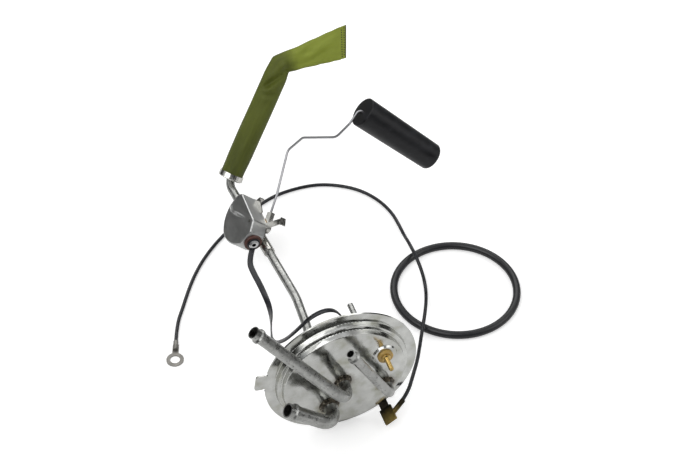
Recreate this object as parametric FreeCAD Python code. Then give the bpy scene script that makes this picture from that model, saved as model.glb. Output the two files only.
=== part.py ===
import FreeCAD, Part
import math
import os
from FreeCAD import Vector, Matrix

# Fuel tank sending unit, lying on its cover's rim. Millimetres.
# The origin is the centre of the rim's front face. +Y goes into the tank, +Z is up.
# UNIT_REACH is from the rim to the corner of the tail; the routes are drawn for DRAWN_REACH.

# Cover plate
UNIT_REACH = 221.1
DRAWN_REACH = 221.1
SHEET = 1.2
RIM_R = 52.0
RIM_WIDTH = 6.8
LEDGE_WIDTH = 2.6
WALL_DRAFT = 0.7
LEDGE_RISE = 3.6
FACE_RISE = 7.5
COVER_FILLET = 0.5
TAB_LENGTH = 6.6
TAB_WIDTH = 12.5
TAB_ANGLE = 171.5
NOTCH_R = 1.3
BOSS_R = 8.4
BOSS_RISE = 1.2

# Fuel tubes
FEED_OD = 9.525
FEED_WALL = 0.9
PICKUP_OD = 6.35
RETURN_OD = 7.94
VENT_OD = 6.35
VENT_TAIL_OD = 4.2
SMALL_WALL = 0.75
TUBE_HOLE_GAP = 0.05
FEED_LEG = 19.0
RETURN_LEG = 22.0
VENT_LEG = 13.5
FEED_BEND_R = 15.5
RETURN_BEND_R = 17.6
VENT_BEND_R = 10.5
FEED_LENGTH = 43.6
RETURN_LENGTH = 100.0
VENT_LENGTH = 61.7
FEED_ANGLE = 140.2
RETURN_ANGLE = 127.4
VENT_ANGLE = 119.0
FEED_DIP = 2.4
RETURN_DIP = 7.4
VENT_DIP = 0.0
FEED_AT = (-10.7, -22.0)
RETURN_AT = (-1.3, -1.7)
VENT_AT = (28.8, -14.0)
RETURN_STUB = 22.0
VENT_STUB = 66.0
BEAD_RISE = 0.9
BEAD_WIDTH = 2.6
BEAD_SETBACK = 5.2
SWAGE_LENGTH = 4.0
BRAZE_SIZE = 1.6
PICKUP_START = 8.0
PICKUP_BEND_R = 60.0
NECK_BEND_R = 12.0

# Ground blade and its terminal
BLADE_ANGLE = -56.0
BLADE_WIDTH = 6.3
BLADE_THICK = 0.8
BLADE_REACH = 16.0
BLADE_FOOT = 1.0
BLADE_STANDOFF = 0.4
FLAG_LENGTH = 12.0
FLAG_WIDTH = 9.0
FLAG_WALL = 0.45
BARREL_LENGTH = 11.0
BARREL_LEAN = 20.0

# Gauge terminal on the cover
STUD_AT = (26.9, 14.6)
STUD_D = 3.3
STUD_REACH = 11.0
STUD_FLANGE_D = 6.4
STUD_FLANGE = 1.0
STUD_TAIL = 6.6
INSULATOR_D = 10.4
INSULATOR_THICK = 1.6
INSULATOR_SLEEVE_D = 6.6
INNER_INSULATOR_D = 12.6
INNER_INSULATOR_THICK = 1.5
NUT_ACROSS = 6.3
NUT_THICK = 2.4
RING_THICK = 0.8
RING_OD = 8.2
LEAD_RING_ANGLE = 135.8
FIT_GAP = 0.05

# Sender: local axes are s (along +Y), t (the way the arm leans) and m (the pivot's axis)
SENDER_SETBACK = 64.9
SENDER_X = -11.6
SENDER_Z = -6.5
PIVOT = Vector(SENDER_X, UNIT_REACH - SENDER_SETBACK, SENDER_Z)
PIVOT_TILT = 47.0
HOUSING_LENGTH = 28.9
HOUSING_DROP = 25.2
HOUSING_DEPTH = 13.0
HOUSING_WALL = 0.8
HOUSING_FRONT = 9.0
HOUSING_SIDE = 3.6
CORNER_CUT = 6.6
BACK_PLATE = 1.0
PRESSED_MARKS = [((6.9, -3.0), 17.0, -27.0), ((22.6, -10.2), 4.8, 16.0)]
MARK_WIDTH = 1.3
MARK_DEPTH = 0.4
SHAFT_D = 3.0
SPIGOT_D = 2.2
RUNNING_GAP = 0.05
HUB_D = 7.0
HUB_THICK = 3.6
HUB_STANDOFF = 0.8
STOP_REACH = 4.2
STOP_WIDTH = 5.6
LOW_STOP_ANGLE = 12.4
LOW_STOP_R = 24.5
HIGH_STOP_ANGLE = 122.2
HIGH_STOP_R = 18.5
SADDLE_LENGTH = 24.0
SADDLE_THICK = 1.0
SADDLE_SETBACK = 16.0
WEB_START = 7.6
WEB_THICK = 1.6

SPRING_AT = 0.4
SPRING_WIDTH = 3.0
SPRING_LAP = 1.5
SPRING_FOOT = 9.0
SPRING_THICK = 0.4
SPRING_RISE = 0.35

# Resistor and wiper
CARD_R = 18.6
CARD_THICK = 1.0
WINDING_THICK = 0.35
WINDING_MARGIN = 1.2
CARD_FROM = -101.0
CARD_TO = 2.0
CARD_END_GAP = 3.5
TAIL_THICK = 0.3
TAIL_GAP = 0.2
TAIL_WIDTH = 3.0
WIPER_ANGLE = -60.0
WIPER_WIDTH = 3.0
WIPER_THICK = 0.5
WIPER_HUB_D = 5.2
WIPER_HUB = 2.0
CONTACT_LENGTH = 2.8
CONTACT_D = 2.4
CONTACT_GAP = 0.25

# Sender terminal
TERMINAL_T = -9.8
TERMINAL_M = 1.8
WASHER_D = 13.0
WASHER_THICK = 1.6
EYELET_D = 7.2
EYELET_THICK = 1.0
RIVET_D = 3.4
RIVET_HOLE_D = 2.2
RIVET_TAIL = 0.6

# Float arm and float
WIRE_D = 1.7
ARM_PLANE = 9.6
ARM_BEND_R = 3.0
FLOAT_NEAR_D = 22.0
FLOAT_FAR_D = 20.0
FLOAT_LENGTH = 68.5
FLOAT_ROUND = 2.5
FLOAT_SKEW = 11.5
FLOAT_SETBACK = 3.2
NUT_OD = 6.5
NUT_GAP = 0.3
FLOAT_NUT_THICK = 0.6
WIRE_TAIL = 1.6

# Filter. The sock stands up from the collar and is folded once; ACROSS is its flat width.
TAIL_X = -14.8
TUBE_Z = FEED_AT[1]
NECK_CORNER = Vector(TAIL_X, UNIT_REACH, TUBE_Z)
SOCK_AIM = Vector(0.571, 0.399, 0.717)
SOCK_OUT = Vector(0.977, -0.028, 0.190)
SOCK_ACROSS = Vector(0.776, -0.558, -0.286)
FOLD_ACROSS = Vector(0.531, -0.690, -0.494)
OUT_ACROSS = Vector(0.085, -0.730, -0.678)
END_ACROSS = Vector(-0.225, -0.662, -0.715)
TUBE_TIP = 11.0
SOCK_D = 17.4
SOCK_BODY_D = 17.8
COLLAR_HEIGHT = 4.6
COLLAR_WALL = 0.8
COLLAR_FLOOR = 0.9
COLLAR_AT = 3.2
SOCK_LOWER = 94.0
SOCK_UPPER = 52.0
SOCK_END_WIDTH = 25.0
SOCK_END_THICK = 1.8
SOCK_FOLD_WIDTH = 16.6
SOCK_FOLD_THICK = 11.0
SOFT_GAP = 0.3
SOCK_STEPS = 3

# Seal ring and leads
SEAL_MEAN_R = 44.6
SEAL_SECTION_D = 5.6
SEAL_AT = (117.0, 87.0)
GROUND_LEAD_D = 2.6
SENDER_LEAD_D = 3.0
RING_TERMINAL_OD = 12.2
RING_TERMINAL_BORE = 7.0
CRIMP_LENGTH = 8.0

FLOOR = -RIM_R
STRETCH = UNIT_REACH / DRAWN_REACH
PICKUP_POINTS = [Vector(-3.4, 62.0 * STRETCH, TUBE_Z), Vector(-2.1, 92.0 * STRETCH, TUBE_Z)]

# The ground lead's route, from its flag terminal to its ring terminal
GROUND_ROUTE = [
    (53.5, 6.5, -30.8), (62, 20.5, -34), (69.5, 35.5, -38.8), (77, 50.5, -42), (85, 65.5, -42),
    (92, 81, -45.5), (97.5, 96, -50.2), (100, 108, -49.2), (99.2, 119.5, -42.1), (99.2, 136, -42.1),
    (101, 150, -48.6), (102, 164, -50.6), (101.5, 179, -50.5), (96.5, 195.5, -50.6), (87, 210, -50.5),
    (73.5, 220.5, -50.6), (57.5, 227, -50.5), (40, 228, -50.6), (23, 225.5, -50.5), (7.5, 219, -50.6),
    (-7.5, 210, -50.5), (-21.5, 200.5, -50.6), (-35, 189.5, -50.5), (-47, 177.5, -50.6),
    (-57.5, 164, -50.5), (-66.5, 149.5, -50.6), (-74.5, 134.5, -50.5), (-83, 119.5, -50.6),
    (-88, 103, -50.6)]

# The flat sender lead's route, from the housing's terminal to the stud
SENDER_ROUTE = [
    (-24.5, 132.5, -18), (-24.5, 120.5, -18), (-23.5, 109, -18), (-23, 97, -18.5), (-23.5, 85.5, -17),
    (-25.5, 74, -14), (-28.5, 63.5, -10), (-31.5, 53.5, -4.5), (-34, 43.5, 1.5), (-36, 34.5, 8.5),
    (-37, 25, 16), (-37, 16.5, 24), (-34, 9.5, 33), (-27.5, 6.5, 42.5), (-18, 7.5, 50.5),
    (-6.5, 10.5, 50.5), (2, 12, 44.5), (5.5, 6.5, 36.5)]
LAST_RUN = 14.0


def unit(vector):
    return Vector(vector).multiply(1.0 / vector.Length)


def turn_to(shape, origin, x_axis, y_axis):
    """Put a shape that was drawn in local axes where those axes lie in the part."""
    z_axis = x_axis.cross(y_axis)
    frame = Matrix(x_axis.x, y_axis.x, z_axis.x, origin.x,
                   x_axis.y, y_axis.y, z_axis.y, origin.y,
                   x_axis.z, y_axis.z, z_axis.z, origin.z,
                   0, 0, 0, 1)
    moved = shape.copy()
    moved.Placement = FreeCAD.Placement(frame).multiply(shape.Placement)
    return moved


def rod(start, direction, diameter, length):
    return Part.makeCylinder(diameter / 2, length, start, direction)


def pipe(start, direction, outer, inner, length):
    return rod(start, direction, outer, length).cut(rod(start, direction, inner, length))


def bent_path(points, radii):
    """Straight runs joined by tangent arcs, one radius for each inner point."""
    edges = []
    start = points[0]
    for index in range(1, len(points) - 1):
        corner = points[index]
        back = unit(points[index - 1] - corner)
        ahead = unit(points[index + 1] - corner)
        half_turn = (math.pi - back.getAngle(ahead)) / 2
        radius = radii[index - 1]
        cut = radius * math.tan(half_turn)
        inward = unit(back + ahead)
        centre = corner + inward * (radius / math.cos(half_turn))
        enter = corner + back * cut
        leave = corner + ahead * cut
        edges.append(Part.LineSegment(start, enter).toShape())
        edges.append(Part.Arc(enter, centre - inward * radius, leave).toShape())
        start = leave
    edges.append(Part.LineSegment(start, points[-1]).toShape())
    return Part.Wire(edges)


def swept_rod(points, radii, diameter):
    path = bent_path(points, radii)
    circle = Part.makeCircle(diameter / 2, points[0], points[1] - points[0])
    return path.makePipeShell([Part.Wire([circle])], True, False)


def cord_radii(points):
    """The largest arc that the two runs at each point leave room for."""
    radii = []
    for index in range(1, len(points) - 1):
        back = points[index - 1] - points[index]
        ahead = points[index + 1] - points[index]
        half_turn = (math.pi - back.getAngle(ahead)) / 2
        radii.append(0.45 * min(back.Length, ahead.Length) / math.tan(half_turn))
    return radii


def cord(points, diameter, name):
    radii = cord_radii(points)
    path = bent_path(points, radii)
    solid = swept_rod(points, radii, diameter)
    area = math.pi * diameter ** 2 / 4
    print(name, "length", round(path.Length, 1), "radii", [round(r) for r in radii],
          "volume ratio", round(solid.Volume / (area * path.Length), 4), solid.isValid())
    return solid


def turned(profile, origin, axis_points):
    """Revolve (radius, height) points about an axis; heights run along axis_points."""
    face = Part.Face(Part.makePolygon([Vector(r, 0, h) for r, h in profile + profile[:1]]))
    solid = face.revolve(Vector(0, 0, 0), Vector(0, 0, 1), 360)
    z_axis = unit(axis_points)
    x_axis = unit(z_axis.cross(Vector(0.31, 0.17, 0.93)))
    return turn_to(solid, origin, x_axis, z_axis.cross(x_axis))


def round_edges(solid, radius, wanted):
    edges = [edge for edge in solid.Edges if wanted(edge)]
    return solid.makeFillet(radius, edges)


def on_cover(place, height):
    """A point over the cover's plan position, height above the raised face."""
    return Vector(place[0], -FACE_RISE - height, place[1])


INTO_TANK = Vector(0, 1, 0)
OUTWARD = Vector(0, -1, 0)
LEDGE_R = RIM_R - RIM_WIDTH - WALL_DRAFT
FACE_R = LEDGE_R - LEDGE_WIDTH - WALL_DRAFT


def make_cover():
    wall = SHEET
    profile = [(0, FACE_RISE), (FACE_R, FACE_RISE), (FACE_R + WALL_DRAFT, LEDGE_RISE),
               (LEDGE_R, LEDGE_RISE), (LEDGE_R + WALL_DRAFT, 0), (RIM_R, 0), (RIM_R, -wall),
               (LEDGE_R + WALL_DRAFT - wall, -wall), (LEDGE_R - wall, LEDGE_RISE - wall),
               (FACE_R + WALL_DRAFT - wall, LEDGE_RISE - wall), (FACE_R - wall, FACE_RISE - wall),
               (0, FACE_RISE - wall)]
    plate = turned(profile, Vector(0, 0, 0), OUTWARD)
    corner_radii = (FACE_R, LEDGE_R, LEDGE_R + WALL_DRAFT, FACE_R + WALL_DRAFT)
    plate = round_edges(plate, COVER_FILLET, lambda edge: edge.Curve.TypeId == "Part::GeomCircle"
                        and any(abs(edge.Curve.Radius - radius) < 0.01 for radius in corner_radii))
    across = Vector(math.cos(math.radians(TAB_ANGLE)), 0, math.sin(math.radians(TAB_ANGLE)))
    side = Vector(-across.z, 0, across.x)
    overlap = 2.0
    tab = Part.makeBox(TAB_LENGTH + overlap, TAB_WIDTH, wall)
    tab = round_edges(tab, 1.5, lambda edge: edge.Length < wall + 0.01
                      and edge.CenterOfMass.x > TAB_LENGTH)
    tab = turn_to(tab, across * (RIM_R - overlap) - side * (TAB_WIDTH / 2) + INTO_TANK * wall,
                  across, side)
    plate = plate.fuse(tab)
    for sign in (-1, 1):
        root = across * (RIM_R + 0.2) + side * (sign * (TAB_WIDTH / 2 + NOTCH_R * 0.6))
        plate = plate.cut(rod(root + OUTWARD, INTO_TANK, 2 * NOTCH_R, wall + 2))
    boss = turned([(0, BOSS_RISE), (BOSS_R - 0.8, BOSS_RISE), (BOSS_R, 0), (BOSS_R, -0.2),
                   (0, -0.2)], on_cover(STUD_AT, 0), OUTWARD)
    hollow = rod(on_cover(STUD_AT, 0), INTO_TANK, 2 * (BOSS_R - wall), wall + 1)
    plate = plate.fuse(boss).cut(hollow)
    for place, outer in ((FEED_AT, FEED_OD), (RETURN_AT, RETURN_OD), (VENT_AT, VENT_OD)):
        plate = plate.cut(rod(on_cover(place, 2), INTO_TANK, outer + 2 * TUBE_HOLE_GAP, 8))
    plate = plate.cut(rod(on_cover(STUD_AT, 4), INTO_TANK, INSULATOR_SLEEVE_D + 2 * FIT_GAP, 8))
    return plate.removeSplitter()


def outlet(place, leg, angle, dip, length):
    """The open end, the bend and the way out of one outlet tube."""
    level = math.cos(math.radians(dip))
    run = Vector(math.cos(math.radians(angle)) * level, math.sin(math.radians(dip)),
                 math.sin(math.radians(angle)) * level)
    corner = on_cover(place, leg)
    return corner + run * length, corner, run


def bead(end, inward, outer):
    """A rolled hose bead a little way in from a tube's open end."""
    low = BEAD_SETBACK - BEAD_WIDTH / 2
    rise = outer / 2 + BEAD_RISE
    profile = [(outer / 2 - 0.3, low - 0.4), (outer / 2, low - 0.4), (rise, low + 0.6),
               (rise, low + BEAD_WIDTH - 0.6), (outer / 2, low + BEAD_WIDTH + 0.4),
               (outer / 2 - 0.3, low + BEAD_WIDTH + 0.4)]
    return turned(profile, end, inward)


def pickup_route():
    """The pick-up tube's corners and bend radii, from the swage to its tip in the sock."""
    neck_at = on_cover(FEED_AT, 0)
    neck_at.y = PICKUP_START + SWAGE_LENGTH
    tip = NECK_CORNER + unit(SOCK_AIM) * TUBE_TIP
    points = [neck_at, neck_at + INTO_TANK * 14] + PICKUP_POINTS + [NECK_CORNER, tip]
    return points, [PICKUP_BEND_R, PICKUP_BEND_R, PICKUP_BEND_R, NECK_BEND_R]


def make_feed_tube():
    end, corner, run = outlet(FEED_AT, FEED_LEG, FEED_ANGLE, FEED_DIP, FEED_LENGTH)
    hole = on_cover(FEED_AT, 0)
    swage_at = Vector(hole.x, PICKUP_START, hole.z)
    outer_points = [end, corner, swage_at]
    inner_points, inner_radii = pickup_route()
    small_bore = PICKUP_OD - 2 * SMALL_WALL
    large_bore = FEED_OD - 2 * FEED_WALL
    swage = Part.makeCone(FEED_OD / 2, PICKUP_OD / 2, SWAGE_LENGTH, swage_at, INTO_TANK)
    body = swept_rod(outer_points, [FEED_BEND_R], FEED_OD).fuse(bead(end, run * -1, FEED_OD))
    body = body.fuse(swage).fuse(swept_rod(inner_points, inner_radii, PICKUP_OD))
    bore = swept_rod(outer_points, [FEED_BEND_R], large_bore)
    bore = bore.fuse(Part.makeCone(large_bore / 2, small_bore / 2, SWAGE_LENGTH, swage_at, INTO_TANK))
    bore = bore.fuse(swept_rod(inner_points, inner_radii, small_bore))
    return body.cut(bore)


def make_return_tube():
    end, corner, run = outlet(RETURN_AT, RETURN_LEG, RETURN_ANGLE, RETURN_DIP, RETURN_LENGTH)
    points = [end, corner, Vector(corner.x, RETURN_STUB, corner.z)]
    body = swept_rod(points, [RETURN_BEND_R], RETURN_OD).fuse(bead(end, run * -1, RETURN_OD))
    return body.cut(swept_rod(points, [RETURN_BEND_R], RETURN_OD - 2 * SMALL_WALL))


def make_vent_tube():
    end, corner, run = outlet(VENT_AT, VENT_LEG, VENT_ANGLE, VENT_DIP, VENT_LENGTH)
    swage_at = Vector(corner.x, PICKUP_START, corner.z)
    tail_at = swage_at + INTO_TANK * SWAGE_LENGTH
    points = [end, corner, swage_at]
    bore = VENT_OD - 2 * SMALL_WALL
    tail_bore = VENT_TAIL_OD - 2 * SMALL_WALL
    tail = VENT_STUB - tail_at.y
    body = swept_rod(points, [VENT_BEND_R], VENT_OD).fuse(bead(end, run * -1, VENT_OD))
    body = body.fuse(Part.makeCone(VENT_OD / 2, VENT_TAIL_OD / 2, SWAGE_LENGTH, swage_at, INTO_TANK))
    body = body.fuse(rod(tail_at, INTO_TANK, VENT_TAIL_OD, tail))
    hollow = swept_rod(points, [VENT_BEND_R], bore)
    hollow = hollow.fuse(Part.makeCone(bore / 2, tail_bore / 2, SWAGE_LENGTH, swage_at, INTO_TANK))
    return body.cut(hollow.fuse(rod(tail_at, INTO_TANK, tail_bore, tail)))


def make_braze_ring(place, outer):
    inner = outer / 2
    profile = [(inner, 0), (inner + BRAZE_SIZE, 0), (inner + BRAZE_SIZE * 0.35, BRAZE_SIZE * 0.4),
               (inner, BRAZE_SIZE)]
    return turned(profile, on_cover(place, 0), OUTWARD)


def blade_axes():
    """Out along the rim's radius, and along the rim."""
    angle = math.radians(BLADE_ANGLE)
    radial = Vector(math.cos(angle), 0, math.sin(angle))
    return radial, Vector(-radial.z, 0, radial.x)


def make_ground_blade():
    """A blade whose foot is welded to the rim's edge, so that the seal's seat stays flat."""
    radial, along = blade_axes()
    top = BLADE_STANDOFF + BLADE_THICK
    inner_face = INTO_TANK * (SHEET / 2 + BLADE_THICK / 2)
    foot = Part.makeBox(BLADE_FOOT + top, BLADE_WIDTH, BLADE_THICK)
    foot = turn_to(foot, radial * (RIM_R - BLADE_FOOT) - along * (BLADE_WIDTH / 2) + inner_face,
                   radial, along)
    foot = foot.cut(rod(OUTWARD * 5, INTO_TANK, 2 * RIM_R, 10))
    blade = Part.makeBox(BLADE_REACH + inner_face.y, BLADE_WIDTH, BLADE_THICK)
    blade = round_edges(blade, 1.2, lambda edge: abs(edge.Length - BLADE_THICK) < 0.01
                        and edge.CenterOfMass.x > BLADE_REACH)
    blade = turn_to(blade, radial * (RIM_R + top) - along * (BLADE_WIDTH / 2) + inner_face,
                    OUTWARD, along)
    return foot.fuse(blade).removeSplitter()


def make_ground_terminal():
    """A flag terminal: a rolled sleeve on the blade, with its crimp barrel to one side."""
    radial, along = blade_axes()
    slot_gap = 0.08
    middle = radial * (RIM_R + BLADE_STANDOFF + BLADE_THICK / 2)
    height = BLADE_THICK + 2 * (slot_gap + FLAG_WALL)
    start = middle + OUTWARD * (BLADE_REACH - FLAG_LENGTH + 1.0)
    sleeve = Part.makeBox(FLAG_LENGTH, FLAG_WIDTH, height)
    sleeve = turn_to(sleeve, start - along * (FLAG_WIDTH / 2) + radial * (height / 2), OUTWARD, along)
    slot = Part.makeBox(BLADE_REACH + 4, BLADE_WIDTH + 2 * slot_gap, BLADE_THICK + 2 * slot_gap)
    slot = turn_to(slot, middle - along * (BLADE_WIDTH / 2 + slot_gap)
                   + radial * (BLADE_THICK / 2 + slot_gap), OUTWARD, along)
    barrel_start, barrel_way = barrel_line()
    barrel = rod(barrel_start, barrel_way, GROUND_LEAD_D + 2 * FLAG_WALL, BARREL_LENGTH)
    inner = rod(barrel_start + barrel_way * (FLAG_LENGTH / 4), barrel_way, GROUND_LEAD_D, BARREL_LENGTH)
    return sleeve.fuse(barrel).cut(slot).cut(inner)


def barrel_line():
    radial, along = blade_axes()
    lean = math.radians(BARREL_LEAN)
    way = along * math.cos(lean) + INTO_TANK * math.sin(lean)
    start = (radial * (RIM_R + BLADE_STANDOFF + BLADE_THICK / 2 + 0.9)
             + OUTWARD * (BLADE_REACH - FLAG_LENGTH / 2 + 1.0) + along * (FLAG_WIDTH / 2 - 1.0))
    return start, unit(way)


def make_gauge_terminal():
    """The stack through the cover: stud, insulators, the lead's ring and the nut."""
    face = on_cover(STUD_AT, BOSS_RISE)
    flange_at = face + OUTWARD * INSULATOR_THICK
    back = face + INTO_TANK * SHEET
    ring_at = back + INTO_TANK * INNER_INSULATOR_THICK
    nut_at = ring_at + INTO_TANK * RING_THICK
    clear = STUD_D + 2 * FIT_GAP
    insulator = rod(flange_at, INTO_TANK, INSULATOR_D, INSULATOR_THICK)
    insulator = round_edges(insulator, 0.5, lambda edge: abs(edge.CenterOfMass.y - flange_at.y) < 0.01)
    insulator = insulator.fuse(rod(face, INTO_TANK, INSULATOR_SLEEVE_D, SHEET))
    insulator = insulator.cut(rod(flange_at + OUTWARD, INTO_TANK, clear, 12))
    inner = pipe(back, INTO_TANK, INNER_INSULATOR_D, clear, INNER_INSULATOR_THICK)
    tip = flange_at + OUTWARD * STUD_REACH
    stud_length = STUD_REACH + INSULATOR_THICK + SHEET + STUD_TAIL
    stud = rod(tip, INTO_TANK, STUD_D, stud_length)
    stud = stud.makeChamfer(0.5, [edge for edge in stud.Edges if abs(edge.CenterOfMass.y - tip.y) < 0.01])
    stud = stud.fuse(rod(flange_at, OUTWARD, STUD_FLANGE_D, STUD_FLANGE))
    ring = pipe(ring_at, INTO_TANK, RING_OD, clear, RING_THICK)
    way = lead_ring_way()
    side = INTO_TANK.cross(way)
    tongue = Part.makeBox(RING_OD / 2 + 4, 3.2, RING_THICK)
    tongue = turn_to(tongue, ring_at - side * 1.6, way, side)
    crimp_at = ring_at + way * (RING_OD / 2 + 2) + INTO_TANK * (SENDER_LEAD_D / 2 + RING_THICK)
    crimp = rod(crimp_at, way, SENDER_LEAD_D + 0.9, 6.0)
    crimp = crimp.cut(rod(crimp_at + way * 2, way, SENDER_LEAD_D, 6.0))
    ring = ring.fuse(tongue.cut(rod(ring_at + OUTWARD, INTO_TANK, clear, 4))).fuse(crimp)
    corners = []
    for index in range(7):
        angle = math.radians(60 * index)
        reach = NUT_ACROSS / 2 / math.cos(math.radians(30))
        corners.append(nut_at + Vector(reach * math.cos(angle), 0, reach * math.sin(angle)))
    nut = Part.Face(Part.makePolygon(corners)).extrude(INTO_TANK * NUT_THICK)
    nut = nut.cut(rod(nut_at + OUTWARD, INTO_TANK, clear, NUT_THICK + 2))
    return stud, insulator, inner, ring, nut


def lead_ring_way():
    """Which way the inner ring's crimp points: towards the lead's last loop."""
    return Vector(math.cos(math.radians(LEAD_RING_ANGLE)), 0, math.sin(math.radians(LEAD_RING_ANGLE)))


def lead_ring_mouth():
    ring_at = on_cover(STUD_AT, BOSS_RISE) + INTO_TANK * (SHEET + INNER_INSULATOR_THICK)
    way = lead_ring_way()
    return ring_at + way * (RING_OD / 2 + 4) + INTO_TANK * (SENDER_LEAD_D / 2 + RING_THICK), way


# The sender's local axes
AXIS_S = Vector(0, 1, 0)
AXIS_M = Vector(math.sin(math.radians(PIVOT_TILT)), 0, -math.cos(math.radians(PIVOT_TILT)))
AXIS_T = AXIS_M.cross(AXIS_S)
HALF_DEPTH = HOUSING_DEPTH / 2


def place_sender(shape):
    return turn_to(shape, PIVOT, AXIS_S, AXIS_T)


def sender_point(s, t, m):
    return PIVOT + AXIS_S * s + AXIS_T * t + AXIS_M * m


def polar(radius, degrees):
    return radius * math.cos(math.radians(degrees)), radius * math.sin(math.radians(degrees))


def housing_outline(height):
    """The quarter-round outline with a cut corner by the pivot and a round heel."""
    length, drop = HOUSING_LENGTH, HOUSING_DROP
    front, side = -HOUSING_FRONT, HOUSING_SIDE
    tip = Vector(length, side * 0.2, height)
    bottom = Vector(length * 0.40, -drop, height)
    heel = Vector(front, -drop * 0.60, height)
    edges = [Part.LineSegment(Vector(length * 0.93, side, height), tip).toShape(),
             Part.Arc(tip, Vector(length * 0.86, -drop * 0.64, height), bottom).toShape(),
             Part.Arc(bottom, Vector(0, -drop * 0.92, height), heel).toShape(),
             Part.LineSegment(heel, Vector(front, side - CORNER_CUT, height)).toShape(),
             Part.LineSegment(Vector(front, side - CORNER_CUT, height),
                              Vector(front + CORNER_CUT, side, height)).toShape(),
             Part.LineSegment(Vector(front + CORNER_CUT, side, height),
                              Vector(length * 0.93, side, height)).toShape()]
    return Part.Face(Part.Wire(edges))


def make_housing():
    outline = housing_outline(-HALF_DEPTH)
    shell = outline.extrude(Vector(0, 0, HOUSING_DEPTH))
    hollow = outline.makeOffset2D(-HOUSING_WALL).extrude(Vector(0, 0, HOUSING_DEPTH))
    hollow.translate(Vector(0, 0, HOUSING_WALL))
    shell = shell.cut(hollow)
    bearing = Part.makeCylinder(SPIGOT_D / 2 + RUNNING_GAP, 4, Vector(0, 0, -HALF_DEPTH - 1))
    terminal = Part.makeCylinder(WASHER_D / 4, 4, Vector(-HOUSING_FRONT - 1, TERMINAL_T, TERMINAL_M),
                                 Vector(1, 0, 0))
    shell = shell.cut(bearing).cut(terminal)
    for (s, t), length, angle in PRESSED_MARKS:
        mark = Part.makeBox(length, MARK_WIDTH, MARK_DEPTH, Vector(s, t, -HALF_DEPTH))
        mark = round_edges(mark, MARK_WIDTH / 2 - 0.05, lambda edge: abs(edge.Length - MARK_DEPTH) < 0.01)
        mark.rotate(Vector(s, t, 0), Vector(0, 0, 1), angle)
        shell = shell.cut(mark)
    return place_sender(shell)


def stop(angle, radius, length):
    """A stop: a neck in the plate's plane and a plate bent up across the arm's path."""
    neck = Part.makeBox(length, STOP_WIDTH * 0.75, BACK_PLATE)
    neck.translate(Vector(radius - length, -STOP_WIDTH * 0.375, 0))
    upright = Part.makeBox(BACK_PLATE, STOP_WIDTH, STOP_REACH)
    upright.translate(Vector(radius, -STOP_WIDTH / 2, 0))
    shape = neck.fuse(upright)
    shape.rotate(Vector(0, 0, 0), Vector(0, 0, 1), angle)
    shape.translate(Vector(0, 0, HALF_DEPTH))
    return shape


def make_back_plate():
    plate = housing_outline(HALF_DEPTH).extrude(Vector(0, 0, BACK_PLATE))
    plate = plate.fuse(stop(LOW_STOP_ANGLE, LOW_STOP_R, LOW_STOP_R * 0.5))
    plate = plate.fuse(stop(HIGH_STOP_ANGLE, HIGH_STOP_R, HIGH_STOP_R * 0.9))
    bearing = Part.makeCylinder(SHAFT_D / 2 + RUNNING_GAP, 6, Vector(0, 0, HALF_DEPTH - 2))
    return place_sender(plate.cut(bearing).removeSplitter())


def pickup_line():
    """The upper straight run of the pick-up tube: a point on it and its direction."""
    return PICKUP_POINTS[1], unit(NECK_CORNER - PICKUP_POINTS[1])


def make_tube_bracket():
    """A saddle half round the tube, with a web that meets the housing's back plate."""
    start, way = pickup_line()
    low = start + way * ((PIVOT.y - SADDLE_SETBACK - start.y) / way.y)
    outer = PICKUP_OD + 2 * SADDLE_THICK
    saddle = pipe(low, way, outer, PICKUP_OD + FIT_GAP, SADDLE_LENGTH)
    tube_at = start + way * ((PIVOT.y - start.y) / way.y) - PIVOT
    web = Part.makeBox(SADDLE_LENGTH - WEB_START, WEB_THICK, tube_at.dot(AXIS_M) - HALF_DEPTH - BACK_PLATE)
    web.translate(Vector(WEB_START - SADDLE_SETBACK, tube_at.dot(AXIS_T) - WEB_THICK / 2,
                         HALF_DEPTH + BACK_PLATE))
    web = place_sender(web).cut(rod(low - way * 5, way, PICKUP_OD + FIT_GAP, SADDLE_LENGTH + 20))
    return saddle.fuse(web).removeSplitter()


def arc_band(inner, outer, low, high, bottom, height):
    """A band between two radii and two angles about the pivot."""
    a, b = Vector(*polar(outer, low), bottom), Vector(*polar(outer, high), bottom)
    c, d = Vector(*polar(inner, high), bottom), Vector(*polar(inner, low), bottom)
    middle = (low + high) / 2
    edges = [Part.Arc(a, Vector(*polar(outer, middle), bottom), b).toShape(),
             Part.LineSegment(b, c).toShape(),
             Part.Arc(c, Vector(*polar(inner, middle), bottom), d).toShape(),
             Part.LineSegment(d, a).toShape()]
    return Part.Face(Part.Wire(edges)).extrude(Vector(0, 0, height))


def make_resistor():
    """The card stands between the housing's face and its back plate; the winding is inside it."""
    floor = -HALF_DEPTH + HOUSING_WALL
    height = HOUSING_DEPTH - HOUSING_WALL
    card = arc_band(CARD_R - CARD_THICK, CARD_R, CARD_FROM, CARD_TO, floor, height)
    coil = arc_band(CARD_R - CARD_THICK - WINDING_THICK, CARD_R - CARD_THICK,
                    CARD_FROM + CARD_END_GAP, CARD_TO - CARD_END_GAP,
                    floor + WINDING_MARGIN, height - 2 * WINDING_MARGIN)
    return place_sender(card), place_sender(coil)


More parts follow.
